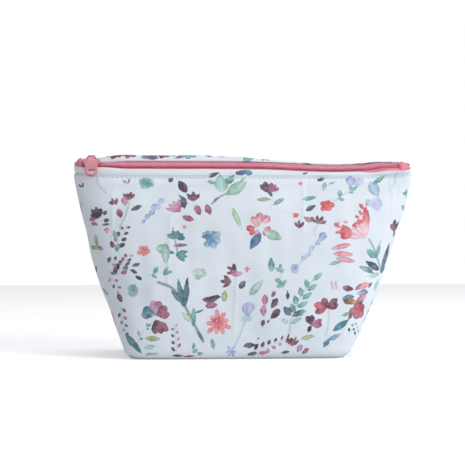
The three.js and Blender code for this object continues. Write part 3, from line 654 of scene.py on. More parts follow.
def lower_middle():
    petal(-25, 35.5, 0, 9, 4, "burgundy", "plum", 1, 0.6)
    petal(-20, 36.5, 8, 6.5, 3, "aubergine")
    petal(-23, 31.5, 8, 7.5, 4, "wine", "rose", 1, 0.6)
    tulip(-4.5, 52.5, 150, 7, "burgundy", "wine", 3, 74)
    petal(-8.5, 51.5, 0, 8, 3.6, "rose", "pink")
    tulip(-7, 46.5, 178, 7.5, "burgundy", "brown", 3, 66)
    blossom(2, 54.5, 2, 4, "coral", "coral")
    leaf(-2.5, 42, 56, 6.4, 4, "aubergine", "slate")
    leaf(4, 38, 50, 12.5, 5, "sage", "pale")
    leaf(-11.5, 34, 88, 7.5, 3.8, "olive", "lime")
    stem([(10, 51), (4, 47), (-3, 47)], 0.4, "pale")
    blossom(-14.5, 21, 8.2, 9, "blush", "coral", 20, 0.34)
    blossom(-15, 21, 4.2, 5, "coral", "red", 0, 0.5)
    leaf(-18.5, 12, -76, 7.5, 2.8, "sage", "teal")
    petal(3, 25, 78, 9, 7, "lavender", "lavender", 1.8, 0.5)
    petal(3, 25, 104, 8, 4, "periwinkle", "lavender", 1.8, 0.6)
    wash(3, 24, 3.6, 2.4, "sky", 0.5)
    stem([(2.5, 24), (0, 15), (-4, 6)], 0.6, "sky")
    blossom(-5.5, 3.5, 4.2, 6, "lavender", "periwinkle", 0, 0.4)
    leaf(16.5, 52, 90, 10, 4, "mint", "teal")
    sprig(24.5, 42, 100, 12, 2, 5.6, "teal", "mint", "pale", 0.05, 0.5)
    leaf(20, 43.5, 5, 5.5, 3, "green", "mint")
    for x, y, turn, reach, ink, tip in (
            (14, 31.5, 95, 7, "pink", "rose"), (13.5, 25, 95, 7, "rose", "pink"),
            (18, 30, 62, 7, "aubergine", "plum"), (18, 23.5, 48, 8, "burgundy", "aubergine"),
            (18, 36.5, 72, 4.4, "burgundy", "plum"), (13, 18.5, 80, 4.6, "rose", "plum"),
            (16, 21, 60, 2.4, "plum", "plum"), (11, 10.5, 70, 2.2, "plum", "plum")):
        petal(x, y, turn, reach, reach * 0.58, ink, tip, 1.2, 0.65)


def mint_branch():
    """With dark leaves at its foot."""
    stem([(31, 8), (31, 22), (35, 36), (44, 49)], 0.45, "sage")
    for k, (x, y) in enumerate(((33, 27), (34, 32), (36.5, 37), (39.5, 42))):
        leaf(x, y, 118 - 4 * k, 7 - 0.3 * k, 3.4, "mint" if k % 2 else "sage", "teal")
        leaf(x, y - 1.5, 22 + 5 * k, 8 - 0.3 * k, 3.2, "teal", "mint")
    leaf(42.5, 47, 40, 7.5, 3.2, "green", "mint")
    leaf(28, 35, 100, 6, 2.2, "navy", "aubergine")
    leaf(30.5, 25.5, 132, 7.5, 4.4, "navy", "slate")
    leaf(31.5, 25, 28, 8.6, 3.6, "navy", "teal")
    leaf(31, 20.5, 30, 8, 2.6, "sage", "mint")
    leaf(30, 21, 156, 6.5, 2.4, "sky", "pale")


def lower_right():
    mixed_fan(53, 30, 4.6, (
        (200, 8, "coral", "wine"), (165, 9, "wine", "coral"), (120, 7, "burgundy", "wine"),
        (45, 8, "burgundy", "brown"), (15, 7, "wine", "burgundy")), 1.4, 0.6)
    stem([(54, 29), (55, 20), (54.5, 13)], 0.4, "sage")
    mixed_fan(44.5, 19.5, 3.6, ((128, 7, "plum", "aubergine"), (98, 6.5, "burgundy", "plum"),
                                (30, 7, "wine", "rose"), (0, 6.5, "rose", "wine")), 1.4, 0.65)
    petal(44, 19.5, -105, 4.4, 3, "aubergine")
    leaf(38.5, 11.4, 10, 9.5, 3, "lime", "olive")
    stem([(54, 46), (55, 42)], 0.8, "pink")
    stem([(56.5, 46), (57.5, 42)], 0.8, "pink")
    leaf(52, 57, 14, 8.5, 2.4, "green", "sage")
    leaf(71, 56, -22, 13, 3.4, "sage", "slate")
    for x, y, turn, reach, ink, tip in (
            (69, 41, 168, 8, "burgundy", "wine"), (69.5, 41, 30, 7, "wine", "rose"),
            (72, 42, 22, 8, "pink", "blush"), (79, 42, 60, 4, "brown", "burgundy"),
            (71, 38.5, 8, 8.5, "lavender", "slate"), (70, 37, 190, 8.5, "deep", "teal"),
            (72, 33.5, 176, 9.5, "amber", "brown"), (70, 31, 30, 8, "burgundy", "plum"),
            (71, 34, 24, 8, "rose", "pink")):
        petal(x, y, turn, reach, reach * 0.45, ink, tip, 1.2, 0.7)
    blossom(74, 28, 6.2, 5, "wine", "coral", 40, 0.8)
    petal(70, 27, -120, 5, 2.6, "burgundy")
    leaf(68.5, 27, 200, 6.5, 2.2, "green", "mint")
    leaf(58.5, 16, 34, 12, 4.4, "blue", "teal")
    leaf(54.5, 6, 62, 6.5, 3.4, "teal", "blue")
    leaf(56, 10, 26, 10.5, 3, "blue", "sky")
    buds(70, 14, 68, 7, 4, 2.6, ("plum", "aubergine"))
    buds(75, 12, 80, 6, 3, 2.6, ("plum", "slate"))


def along_the_foot():
    buds(9, 3, 22, 24, 11, 4.2, ("aubergine", "rose", "plum", "pink"))
    petal(2, 7, 6, 8, 3.4, "aubergine", "plum")
    petal(5, 1.5, 10, 7, 3, "slate", "aubergine")
    petal(12, 2, 10, 6.5, 2.6, "pink", "rose")
    tulip(33.5, 6.5, 85, 6.6, "burgundy", "wine", 4, 80)
    petal(38, 3, 70, 5.6, 3.6, "rose", "lavender")
    petal(41, 2, 40, 5.6, 3, "burgundy", "rose")
    petal(27, 2.5, 10, 6, 2.2, "aubergine", "slate")
    each(leaf, ((-30, 5, 90), (-31, 3, 30), (-28, 2, 10)), 5, 2.2, "teal", "mint")


def upper_right_corner():
    petal(96, 78, 100, 8.5, 3.6, "plum", "burgundy", 1.4, 0.7)
    petal(96, 78, 130, 7, 3.2, "burgundy", "wine", 1.4, 0.7)
    petal(96.5, 78.5, 66, 7.5, 3.2, "aubergine", "plum", 1.4, 0.7)
    petal(96, 79, -85, 4.6, 2.4, "aubergine")


def end_motifs():
    """Round the two ends of the bag, where the panels turn to meet at the side seams."""
    sprig(-103, 24, 84, 22, 3, 6.4, "teal", "mint", "sage", 0.06, 0.44)
    blossom(-87, 23, 5, 6, "blush", "red", 10)
    tulip(-96, 51, 96, 7, "burgundy", "wine")
    tulip(-101, 56, 120, 6, "rose", "plum")
    leaf(-88, 4, 30, 10, 3.6, "mint", "green")
    wash(-102, 74, 4, 5, "lavender", 0.55)
    leaf(-104, 90, 70, 10, 3.4, "sage", "pale")
    buds(-97, 4, 70, 13, 7, 3.8, ("plum", "rose", "aubergine"))
    leaf(-84, 38, 150, 9, 3, "olive", "lime")
    blossom(98, 40, 5.2, 6, "blush", "red", 0)
    sprig(86, 14, 80, 18, 3, 6, "mint", "teal", "sage", 0.06, 0.46)
    buds(101, 12, 100, 16, 8, 3.8, ("plum", "rose", "aubergine", "pink"))
    blossom(90, 4, 4.6, 5, "sky", "blue", 30)
    leaf(100, 57, 120, 11, 4, "sage", "mint")
    sprig(104, 88, 96, 16, 2, 5.6, "mint", "teal", "pale", 0.06, 0.46)
    leaf(84, 40, 60, 9, 3.6, "pale", "mint")
    tulip(103, 70, 80, 5.6, "wine", "burgundy")


def rear_lip_motifs():
    """Along the fold of the rear panel, which shows over the zip."""
    level = TOP_T + 9.5
    for x, ink, tip in ((80, "brown", "burgundy"), (71, "burgundy", "wine"), (58, "plum", "wine"),
                        (50, "wine", "burgundy")):
        for turn in (-40, 20, 80, 140, 200):
            petal(x, level, turn, 5.6, 3.4, ink, tip, 1.4, 0.7)
    leaf(67, level + 1, -160, 8, 2.4, "slate", "aubergine")
    for turn in (25, 85, 145, 205, 265, 325):
        petal(34, level, turn, 6, 4, "sky", "teal", 1.5, 0.6)
    petal(19, level + 3, -20, 6, 2.2, "plum")
    blossom(13, level, 4, 5, "pink", "rose")
    petal(0, level + 2, 190, 6, 2, "periwinkle")
    leaf(-36, level, 170, 7, 2, "sage", "deep")


BARE, DEEPEST = -2.0, 1.6  # a stroke's cover, in millimetres inside its edge, keeps within these


class Cloth:
    """The print on a grid of the cloth: `s` of each column, `t` of each row."""

    def __init__(self, s, t):
        self.s, self.t = s, t
        shape = (len(t), len(s))
        self.ink = np.ones(shape + (3,)) * INK["sage"]
        self.cover = np.full(shape, BARE)
        self.line = np.zeros(shape)
        self.line_ink = np.ones(shape + (3,)) * INK["sage"]
        self.wash = np.zeros(shape)
        self.wash_ink = np.ones(shape + (3,)) * INK["sky"]

    def window(self, s, t, reach):
        """The part of the grid round a place, with its s and t, or None where there is none."""
        columns = np.nonzero(np.abs(self.s - s) < reach)[0]
        rows = np.nonzero(np.abs(self.t - t) < reach)[0]
        if not len(columns) or not len(rows):
            return None
        part = (slice(rows[0], rows[-1] + 1), slice(columns[0], columns[-1] + 1))
        return part, self.s[part[1]][None, :], self.t[part[0]][:, None]

    def lay(self, layer, layer_ink, part, cover, ink):
        """Puts ink on a layer where it covers more than what is there."""
        layer_ink[part] = np.where((cover > layer[part])[..., None], ink, layer_ink[part])
        layer[part] = np.maximum(layer[part], cover)

    def paint_petal(self, shift, s, t, angle, length, width, ink, tip, belly, blunt):
        s, t = s + shift[0], t + shift[1]
        found = self.window(s + np.cos(angle) * length / 2, t + np.sin(angle) * length / 2,
                            length / 2 + 2.5)
        if not found:
            return
        part, gs, gt = found
        u = (gs - s) * np.cos(angle) + (gt - t) * np.sin(angle)
        v = -(gs - s) * np.sin(angle) + (gt - t) * np.cos(angle)
        k = np.clip(u / length, 0, 1)
        half = width / 2 * np.sin(np.pi * k ** belly) ** blunt
        beyond = np.maximum(np.maximum(-u, u - length), 0)
        depth = np.where(beyond > 0, -np.hypot(beyond, v), (half - np.abs(v)) * 0.9)
        depth = np.clip(depth, BARE, DEEPEST)
        rib = 0.22 * np.exp(-((v / 0.5) ** 2))
        edge = 0.25 * smooth(0.4, 1, np.abs(v) / (half + 0.1))
        colour = lerp(ink, tip, k[..., None] ** 0.8) * (1 + rib - edge)[..., None]
        best = self.cover[part]
        over = np.maximum(smooth(-0.25, 0.3, depth), ((depth > best) & (best < 0)) * 1.0)
        self.ink[part] = lerp(self.ink[part], colour, over[..., None])
        self.cover[part] = np.where(depth > 0, np.maximum(np.minimum(best, 0.35), depth),
                                    np.maximum(best, depth))

    def paint_stem(self, shift, points, width, ink):
        points = curve_through(points, 6 * len(points)) + shift
        middle = (points.max(0) + points.min(0)) / 2
        found = self.window(*middle, np.ptp(points, axis=0).max() / 2 + 2)
        if not found:
            return
        part, gs, gt = found
        near = np.full((gt.shape[0], gs.shape[1]), 9.0)
        for a, b in zip(points[:-1], points[1:]):
            d = b - a
            k = np.clip(((gs - a[0]) * d[0] + (gt - a[1]) * d[1]) / (d @ d + 1e-9), 0, 1)
            near = np.minimum(near, np.hypot(gs - a[0] - k * d[0], gt - a[1] - k * d[1]))
        cover = np.exp(-((near / (width * 0.75 + 0.1)) ** 2)) * min(width / 0.55, 1)
        self.lay(self.line, self.line_ink, part, cover, ink)

    def paint_wash(self, shift, s, t, across, up, ink, strength):
        s, t = s + shift[0], t + shift[1]
        found = self.window(s, t, max(across, up) * 1.8)
        if not found:
            return
        part, gs, gt = found
        away = np.hypot((gs - s) / across, (gt - t) / up)
        cover = strength * (1 - smooth(0.75, 1.35, away))
        self.lay(self.wash, self.wash_ink, part, cover, ink)

    def paint(self, strokes, offset=(0, 0), repeats=True):
        """Paints all the strokes, and their repeats on every side of the first ones."""
        span = (-1, 0, 1) if repeats else (0,)
        draw = {"petal": self.paint_petal, "stem": self.paint_stem, "wash": self.paint_wash}
        for kind, *values in strokes:
            for i in span:
                for j in span:
                    draw[kind](np.array(offset) + REPEAT * (i, j), *values)
        return self


def drawn(*makers):
    STROKES.clear()
    for make in makers:
        make()
    return list(STROKES)


FRONT_PRINT = drawn(upper_left, mint_leaves, upper_right, peony, carnation, lavender_sprig,
                    middle_left, grass_sprig, many_coloured_blossom, lower_middle, mint_branch,
                    lower_right, along_the_foot, upper_right_corner, end_motifs)
REAR_FOLD_PRINT = drawn(rear_lip_motifs)


def printed_grid(s, t, side):
    """A panel's print on the grid of cloth with these s and t."""
    cloth = Cloth(s, t)
    if side < 0:
        cloth.paint(FRONT_PRINT)
    else:
        cloth.paint(FRONT_PRINT, REAR_OFFSET).paint(REAR_FOLD_PRINT, repeats=False)
    return cloth


def apply_print(obj, clothes):
    """Gives a mesh, whose points are these grids of cloth in turn, their print and their place."""
    flat = {key: np.concatenate([getattr(c, key).ravel() for c in clothes])
            for key in ("ink", "line_ink", "wash_ink", "cover", "line", "wash")}
    for key, values in flat.items():
        set_attribute(obj, key, values, "FLOAT_VECTOR" if "ink" in key else "FLOAT")
    places = [np.stack(np.broadcast_arrays(c.s[None, :], c.t[:, None], 0.0), 2).reshape(-1, 3)
              for c in clothes]
    set_attribute(obj, "place", np.concatenate(places), "FLOAT_VECTOR")


# ---- Materials ----------------------------------------------------------------------------
class Material:
    """A material with its Principled shader, and short ways to add nodes to it."""

    def __init__(self, name, roughness=0.8, **constants):
        self.data = bpy.data.materials.new(name)
        self.data.use_nodes = True
        self.tree = self.data.node_tree
        self.shader = self.tree.nodes["Principled BSDF"]
        self.shader.inputs["Roughness"].default_value = roughness
        for key, value in constants.items():
            self.shader.inputs[key.replace("_", " ")].default_value = value

    def add(self, kind, *inputs, **settings):
        node = self.tree.nodes.new("ShaderNode" + kind)
        for key, value in settings.items():
            setattr(node, key, value)
        for socket, value in zip(node.inputs, inputs):
            if value is not None:
                self.give(socket, value)
        return node

    def give(self, socket, value):
        if isinstance(value, bpy.types.NodeSocket):
            self.tree.links.new(value, socket)
        else:
            socket.default_value = value

    def attribute(self, name, output="Fac"):
        return self.add("Attribute", attribute_name=name).outputs[output]

    def math(self, operation, a, b=None, c=None):
        return self.add("Math", a, b, c, operation=operation).outputs[0]

    def remap(self, value, low, high, to_low=0.0, to_high=1.0, kind="SMOOTHSTEP"):
        node = self.add("MapRange", value, interpolation_type=kind)
        for key, number in (("From Min", low), ("From Max", high),
                            ("To Min", to_low), ("To Max", to_high)):
            node.inputs[key].default_value = number
        return node.outputs[0]

    def mix(self, factor, a, b, blend="MIX"):
        node = self.add("Mix", data_type="RGBA", blend_type=blend)
        self.give(node.inputs["Factor"], factor)
        self.give(node.inputs["A"], a)
        self.give(node.inputs["B"], b)
        return node.outputs["Result"]

    def noise(self, vector, scale, detail, roughness=0.5):
        node = self.add("TexNoise")
        self.give(node.inputs["Vector"], vector)
        node.inputs["Scale"].default_value = scale
        node.inputs["Detail"].default_value = detail
        node.inputs["Roughness"].default_value = roughness
        return node.outputs["Fac"]

    def wave(self, vector, scale, axis, distortion):
        node = self.add("TexWave", wave_type="BANDS", bands_direction=axis)
        self.give(node.inputs["Vector"], vector)
        node.inputs["Scale"].default_value = scale
        node.inputs["Distortion"].default_value = distortion
        return node.outputs["Fac"]

    def object_mm(self):
        """Place in the row frame, in millimetres."""
        place = self.add("TexCoord").outputs["Object"]
        return self.add("VectorMath", place, (1000, 1000, 1000), operation="MULTIPLY").outputs[0]

    def colour(self, value):
        self.give(self.shader.inputs["Base Color"], value)

    def rough(self, value):
        self.give(self.shader.inputs["Roughness"], value)

    def bump(self, height, strength, distance_mm):
        node = self.add("Bump")
        node.inputs["Strength"].default_value = strength
        node.inputs["Distance"].default_value = distance_mm * MM
        self.give(node.inputs["Height"], height)
        self.give(self.shader.inputs["Normal"], node.outputs[0])


def rgba(code):
    return tuple(srgb(code)) + (1.0,)


THREAD_PITCH, LINING_THREAD_PITCH = 0.42, 0.5  # of the weaves
WAVE_BAND = 3.1831  # length of a band of the wave node, at a scale of 1


def weave(m, place, pitch):
    """Height of a plain weave, from a place in millimetres."""
    scale = 1 / pitch / WAVE_BAND
    over = m.wave(place, scale, "X", 0.4)
    under = m.wave(place, scale, "Y", 0.4)
    return m.math("MULTIPLY", over, under)


def printed_cotton():
    m = Material("printed_cotton", 0.86, Sheen_Weight=0.08, Sheen_Roughness=0.5,
                 Specular_IOR_Level=0.25)
    place = m.attribute("place", "Vector")
    wobble = m.noise(place, 0.55, 4, 0.6)
    grain = m.noise(place, 2.3, 3, 0.65)
    pool = m.noise(place, 0.22, 2)
    cover = m.math("MULTIPLY_ADD", m.math("SUBTRACT", wobble, 0.5), 1.5, m.attribute("cover"))
    inked = m.remap(cover, -0.14, 0.2)
    rim = m.remap(cover, 0.05, 0.55, 1.0, 0.0)
    uneven = m.math("ADD", pool, m.math("MULTIPLY", grain, 0.5))
    strength = m.math("MULTIPLY", inked, m.remap(uneven, 0.5, 0.95, 0.88, 1.0))
    cloth_tone = m.noise(place, 0.035, 3)
    slub = m.noise(m.add("Mapping", place, None, None, (0.25, 4.0, 1.0)).outputs[0], 0.8, 2)
    base = m.mix(m.remap(cloth_tone, 0.35, 0.7), rgba("eaeff6"), rgba("e4ebf3"))
    base = m.mix(m.remap(slub, 0.3, 0.8, 0.0, 0.22), base, rgba("dbe2ec"))
    blotch = m.math("MULTIPLY_ADD", m.math("SUBTRACT", wobble, 0.5), 1.1, m.attribute("wash"))
    wash_cover = m.math("MULTIPLY", m.remap(blotch, 0.2, 0.52),
                        m.remap(pool, 0.35, 0.6, 0.5, 0.85))
    colour = m.mix(wash_cover, base, m.attribute("wash_ink", "Color"))
    line_cover = m.math("MULTIPLY", m.attribute("line"), m.remap(grain, 0.25, 0.6, 0.5, 0.95))
    colour = m.mix(line_cover, colour, m.attribute("line_ink", "Color"))
    pigment = m.attribute("ink", "Color")
    ink = m.mix(m.remap(grain, 0.42, 0.7, 0.0, 0.34), pigment, rgba("f0f3f8"))
    ink = m.mix(m.remap(pool, 0.4, 0.62, 0.0, 0.4), ink, pigment, "MULTIPLY")
    ink = m.mix(m.math("MULTIPLY", rim, 0.3), ink, pigment, "MULTIPLY")
    colour = m.mix(strength, colour, ink)
    threads = weave(m, place, THREAD_PITCH)
    colour = m.mix(m.remap(threads, 0.0, 0.35, 0.1, 0.0), colour, rgba("8d99ab"), "MULTIPLY")
    m.colour(colour)
    m.rough(m.remap(grain, 0.2, 0.8, 0.8, 0.93, "LINEAR"))
    m.bump(m.math("MULTIPLY_ADD", m.noise(place, 0.7, 4, 0.6), 1.4, threads), 0.5, 0.09)
    return m.data


def lining_cotton():
    m = Material("lining_cotton", 0.88, Sheen_Weight=0.06, Specular_IOR_Level=0.2)
    place = m.object_mm()
    threads = weave(m, place, LINING_THREAD_PITCH)
    tone = m.noise(place, 0.05, 3)
    colour = m.mix(m.remap(tone, 0.3, 0.7), rgba("eef0f3"), rgba("e2e5ea"))
    colour = m.mix(m.remap(threads, 0.0, 0.4, 0.16, 0.0), colour, rgba("8a92a0"), "MULTIPLY")
    m.colour(colour)
    m.rough(m.remap(tone, 0.2, 0.8, 0.84, 0.94, "LINEAR"))
    m.bump(m.math("MULTIPLY_ADD", m.noise(place, 0.6, 3), 1.2, threads), 0.5, 0.1)
    return m.data


def wadding_fleece():
    m = Material("wadding_fleece", 0.95, Specular_IOR_Level=0.1)
    place = m.object_mm()
    fluff = m.noise(place, 0.9, 6, 0.75)
    m.colour(m.mix(m.remap(fluff, 0.3, 0.7), rgba("f3f3ef"), rgba("dfe0dc")))
    m.rough(m.remap(fluff, 0.2, 0.8, 0.9, 1.0, "LINEAR"))
    m.bump(fluff, 0.8, 0.5)
    return m.data


def sewing_thread():
    m = Material("sewing_thread", 0.6, Specular_IOR_Level=0.35, Sheen_Weight=0.1)
    place = m.object_mm()
    twist = m.wave(m.add("Mapping", place, None, (0.0, 0.7, 0.6)).outputs[0], 0.9, "X", 0.3)
    m.colour(m.mix(m.remap(twist, 0.1, 0.8), rgba("c9ced8"), rgba("f2f4f8")))
    m.rough(m.remap(twist, 0.0, 1.0, 0.5, 0.72, "LINEAR"))
    m.bump(twist, 0.6, 0.08)
    return m.data


def zip_tape():
    m = Material("zip_tape", 0.82, Sheen_Weight=0.15, Specular_IOR_Level=0.25)
    place = m.object_mm()
    ribs = m.wave(m.add("Mapping", place, None, (0.0, 0.0, 0.75)).outputs[0], 0.55, "X", 0.5)
    cross = m.wave(m.add("Mapping", place, None, (0.0, 0.0, -0.75)).outputs[0], 0.55, "X", 0.5)
    twill = m.math("MULTIPLY", ribs, cross)
    fade = m.noise(place, 0.12, 3)
    colour = m.mix(m.remap(twill, 0.0, 0.5), rgba("e07a90"), rgba("f096a8"))
    colour = m.mix(m.remap(fade, 0.35, 0.75, 0.0, 0.35), colour, rgba("f4a5b4"))
    m.colour(colour)
    m.rough(m.remap(twill, 0.0, 0.8, 0.9, 0.74, "LINEAR"))
    m.bump(twill, 0.7, 0.12)
    return m.data


def coil_nylon():
    m = Material("coil_nylon", 0.42, Coat_Weight=0.15, Coat_Roughness=0.3,
                 Specular_IOR_Level=0.5, Subsurface_Weight=0.08, Subsurface_Scale=0.001)
    place = m.object_mm()
    tone = m.noise(place, 0.25, 3)
    streak = m.noise(place, 5.0, 2)
    colour = m.mix(m.remap(tone, 0.3, 0.7), rgba("f29aad"), rgba("f8acbb"))
    colour = m.mix(m.remap(streak, 0.4, 0.7, 0.0, 0.3), colour, rgba("e78399"))
    # The heads, where they lock together in the middle of the chain, are darker: painted shade of
    # the hollow between the two rows of heads.
    painted_centre_shade = m.remap(m.attribute("across"), 0.7, 1.7, 0.75, 0.0)
    m.colour(m.mix(painted_centre_shade, colour, rgba("dd7590")))
    m.rough(m.remap(streak, 0.2, 0.8, 0.34, 0.52, "LINEAR"))
    m.bump(streak, 0.2, 0.05)
    return m.data


def enamel():
    m = Material("enamel", 0.3, Metallic=0.0, Coat_Weight=0.5, Coat_Roughness=0.12,
                 Specular_IOR_Level=0.5)
    place = m.object_mm()
    peel = m.noise(place, 1.3, 2)
    enamel_mottle = m.noise(place, 0.5, 4, 0.7)
    edge = m.remap(m.add("NewGeometry").outputs["Pointiness"], 0.5, 0.62)
    colour = m.mix(m.remap(enamel_mottle, 0.3, 0.75), rgba("b24a5f"), rgba("bf5b72"))
    # Convex edges turn a lighter pink in patches.
    colour = m.mix(m.math("MULTIPLY", edge, m.remap(enamel_mottle, 0.45, 0.6, 0.0, 0.55)), colour,
                   rgba("f0a3b0"))
    m.colour(colour)
    m.rough(m.remap(enamel_mottle, 0.3, 0.8, 0.24, 0.42, "LINEAR"))
    m.bump(peel, 0.12, 0.08)
    return m.data


PRINTED = printed_cotton()
LINING = lining_cotton()
FLEECE = wadding_fleece()
THREAD = sewing_thread()
TAPE_CLOTH = zip_tape()
NYLON = coil_nylon()
ENAMEL = enamel()


def finish_piece(obj, material, body=None, replaces=()):
    obj.data.materials.clear()
    obj.data.materials.append(material)
    if body:
        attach(obj, body)
    if replaces:
        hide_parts(*replaces)
    return obj


# ---- Panels -------------------------------------------------------------------------------
SIDES = ((-1, "front", "front"), (1, "rear", "back"))  # side, name here, name in the CAD
ENDS = ((-1, "left"), (1, "right"))
SOFT_GRID = 2.2  # spacing of the lining's mesh
PAD_GRID, PAD_OUTER_INSET, PAD_INNER_INSET = 3.0, 1.3, 2.9  # of the wadding
COLLAR_INSETS, COLLAR_RISE = (2.3, 1.4, 0.35), 0.25  # of the lining's turned-out collar
LINING_BASE_ROWS = 14
PANEL_MAP, LIP_MAP = (2 * HALF_PANEL + 4, 170), 112  # millimetres of cloth that a UV map spans
TOP_ROWS = {}  # each panel's top edge: points and s, for its lip to start from


def base_points(edge, step):
    """Half of the base, from the panel's lowest row in to the seam along the middle."""
    shares = np.linspace(1, 0, int(BASE_RUN / step / 1.5) + 1)[:, None, None]
    points = edge[None] * np.ones_like(shares)
    points[..., 1] = edge[None, :, 1] * shares[..., 0]
    near_seam = np.exp(-((points[..., 1] / 1.4) ** 2))
    points[..., 2] = 0.9 * near_seam
    return points


def panel(side, name, node):
    """The printed cloth of one face, with half of each end and of the base."""
    points, s, t = shape_wall(side, GRID)
    TOP_ROWS[side] = (points[-1].copy(), s)
    ground = base_points(points[0], GRID)
    ground_t = -np.linspace(0, 1, len(ground)) * BASE_RUN - FOLD_RUN
    rows, columns = len(t), len(s)
    everything = np.concatenate([points.reshape(-1, 3), ground.reshape(-1, 3)])
    outward = np.concatenate([normals_of(points).reshape(-1, 3),
                              np.tile([0, 0, -1.0], (ground.size // 3, 1))])
    faces = np.concatenate([
        facing(everything, grid_faces(rows, columns), outward),
        facing(everything, grid_faces(len(ground), columns, rows * columns), outward)])
    obj = mesh_object(f"{name}_panel_cloth", everything, faces.tolist())
    ground_s = np.clip(s, -BASE_PRINT_REACH, BASE_PRINT_REACH)
    apply_print(obj, [printed_grid(s, t, side), printed_grid(ground_s, ground_t, side)])
    all_s = np.concatenate([np.tile(s, rows), np.tile(ground_s, len(ground))])
    all_t = np.concatenate([np.repeat(t, columns), np.repeat(ground_t, columns)])
    # On the base, columns follow x, so that no two faces share a place in the map.
    flat_s = np.where(np.arange(len(all_s)) < rows * columns, all_s, everything[:, 0] * -side)
    set_uv(obj, 0.5 + flat_s / PANEL_MAP[0], (all_t + BASE_RUN + 6) / PANEL_MAP[1])
    return finish_piece(obj, PRINTED, "shell", [node])


def lining_panel(side, name, node):
    """Half of the lining's base, its wall, and a collar turned out over the wadding, where all
    the layers are stitched together."""
    points, s, _ = wall(side, SOFT_GRID, LINING_INSET)
    points = lean(points)
    edge = points[0]
    shares = np.linspace(1, 0, LINING_BASE_ROWS)[:, None]
    ground = np.stack(np.broadcast_arrays(edge[:, 0], edge[:, 1] * shares, LINING_INSET), 2)
    collar = [lean(wall(side, SOFT_GRID, inset)[0][-1:]) + [0, 0, COLLAR_RISE]
              for inset in COLLAR_INSETS]
    grid = np.concatenate([ground[::-1], points[1:], *collar])
    grid_s, grid_t = np.meshgrid(s, np.arange(len(grid)) * SOFT_GRID)
    ripple = 0.25 * (1 + FINE(grid_s + 40 * side, grid_t))
    ripple[-1 - len(collar):] = 0
    grid = grid - normals_of(grid) * ripple[..., None]
    flat = grid.reshape(-1, 3)
    inward = -flat * [1, 1, 0] + [0, 0, 20]
    faces = facing(flat, grid_faces(len(grid), len(s)), inward)
    obj = mesh_object(f"{name}_lining_cloth", flat, faces.tolist())
    return finish_piece(obj, LINING, "shell", [node])


def wadding_pad(side, name, node):
    """A closed pad between the printed cloth and the lining, clear of the seams."""
    outer = shape_wall(side, PAD_GRID, PAD_OUTER_INSET)[0][1:-1, 2:-2]
    inner = lean(wall(side, PAD_GRID, PAD_INNER_INSET)[0])[1:-1, 2:-2]
    points = np.concatenate([outer.reshape(-1, 3), inner.reshape(-1, 3)])
    obj = mesh_object(f"{name}_wadding_pad", points, pad_faces(*outer.shape[:2]))
    fix_normals(obj)
    finish_piece(obj, FLEECE, "shell", [node])


def fix_normals(obj):
    bm = bmesh.new()
    bm.from_mesh(obj.data)
    bmesh.ops.recalc_face_normals(bm, faces=bm.faces)
    bm.to_mesh(obj.data)
    bm.free()


# ---- Lips ---------------------------------------------------------------------------------
RIDGE_LEFT, RIDGE_RIGHT = 127.0, 121.8  # the rear lip stands up behind the left of the zip
RIGHT_END_SHOWS = 1.9  # more of the tape shows towards the right end of the zip
LIP_END = 107.4  # where the two lips meet, from the middle
SLIDER_EDGE = 3.9  # the tape stays flat as far as this from the chain's middle
TAPE_SPAN, LIP_LINING_SPAN = (-102.4, 101.2), (-104, 104)  # their first and last x
LIP_CORE_HEIGHT = 117.0  # of a line inside the lips, which their cloth faces away from


def lip_edge_v(x):
    """Distance of a lip's folded edge from the middle of the zip: they close at the seams."""
    wide = LIP_EDGE + RIGHT_END_SHOWS * right_end(x)
    return 1.1 + (wide - 1.1) * np.sqrt(np.clip((LIP_END - np.abs(x)) / 5, 0, 1))


def right_end(x):
    """Share of what changes towards the right end of the zip."""
    return smooth(72, 90, x)


def ridge_fall(x):
    """Share of the rear ridge's fall, from its high left part to its right."""
    return smooth(-30, 62, x)


def fold_wave(x, side):
    return 0.16 * np.sin(x / 6.3 + side) + 0.1 * np.sin(x / 2.9 + 2 * side)


def front_lip_rows(foot):
    x, y, z = foot.T
    v = lip_edge_v(x)
    level = 0.75 + 0.4 * fold_wave(x, -1) - 1.2 * right_end(x)
    crest = np.stack(zip_point(x, -v - 0.75, level), 1)
    edge = np.stack(zip_point(x, -v, level - 0.45), 1)
    under = np.stack(zip_point(x, -v - 0.7, level - 1.0), 1)
    base = np.stack([y, z], 1)
    along = crest - base
    out = np.stack([-along[:, 1], along[:, 0]], 1) / np.linalg.norm(along, axis=1)[:, None]
    puff = (0.75 + fold_wave(x, 1) * 0.9)[:, None]
    knots = [base, base + 0.16 * along + 0.62 * puff * out, base + 0.5 * along + 1.05 * puff * out,
             base + 0.84 * along + 0.75 * puff * out, crest, edge, under]
    return curve_through(knots, 26)


def rear_ridge(x):
    level = lerp(RIDGE_LEFT, RIDGE_RIGHT, ridge_fall(x))
    ends = np.abs(x) / LIP_END
    return level - 4.2 * ends ** 14 - 1.6 * smooth(-78, -98, x) + 0.8 * fold_wave(x, 1)


def rear_lip_rows(foot):
    x, y, z = foot.T
    v = lip_edge_v(x)
    top = np.maximum(rear_ridge(x), z + 1.2)
    ridge_y = np.maximum(y - 1.5, zip_point(x, v + 1.2, 0)[0])
    under = np.stack(zip_point(x, v + 0.7, -0.25), 1)
    edge = np.stack(zip_point(x, v, 0.4), 1)
    shoulder = np.stack(zip_point(x, v + 0.6, lerp(1.3, 0.6, ridge_fall(x))), 1)
    ridge = np.stack([ridge_y, top], 1)
    behind = np.stack([np.maximum(y + 0.45, ridge_y + 1.0), top - 1.5], 1)
    low = np.stack([y + 0.75, lerp(z, top, 0.42)], 1)
    base = np.stack([y, z], 1)
    knots = [base, lerp(base, low, 0.3) + [0.4, 0], low, behind, ridge,
             lerp(ridge, shoulder, 0.55), shoulder, edge, under]
    return curve_through(knots, 34)


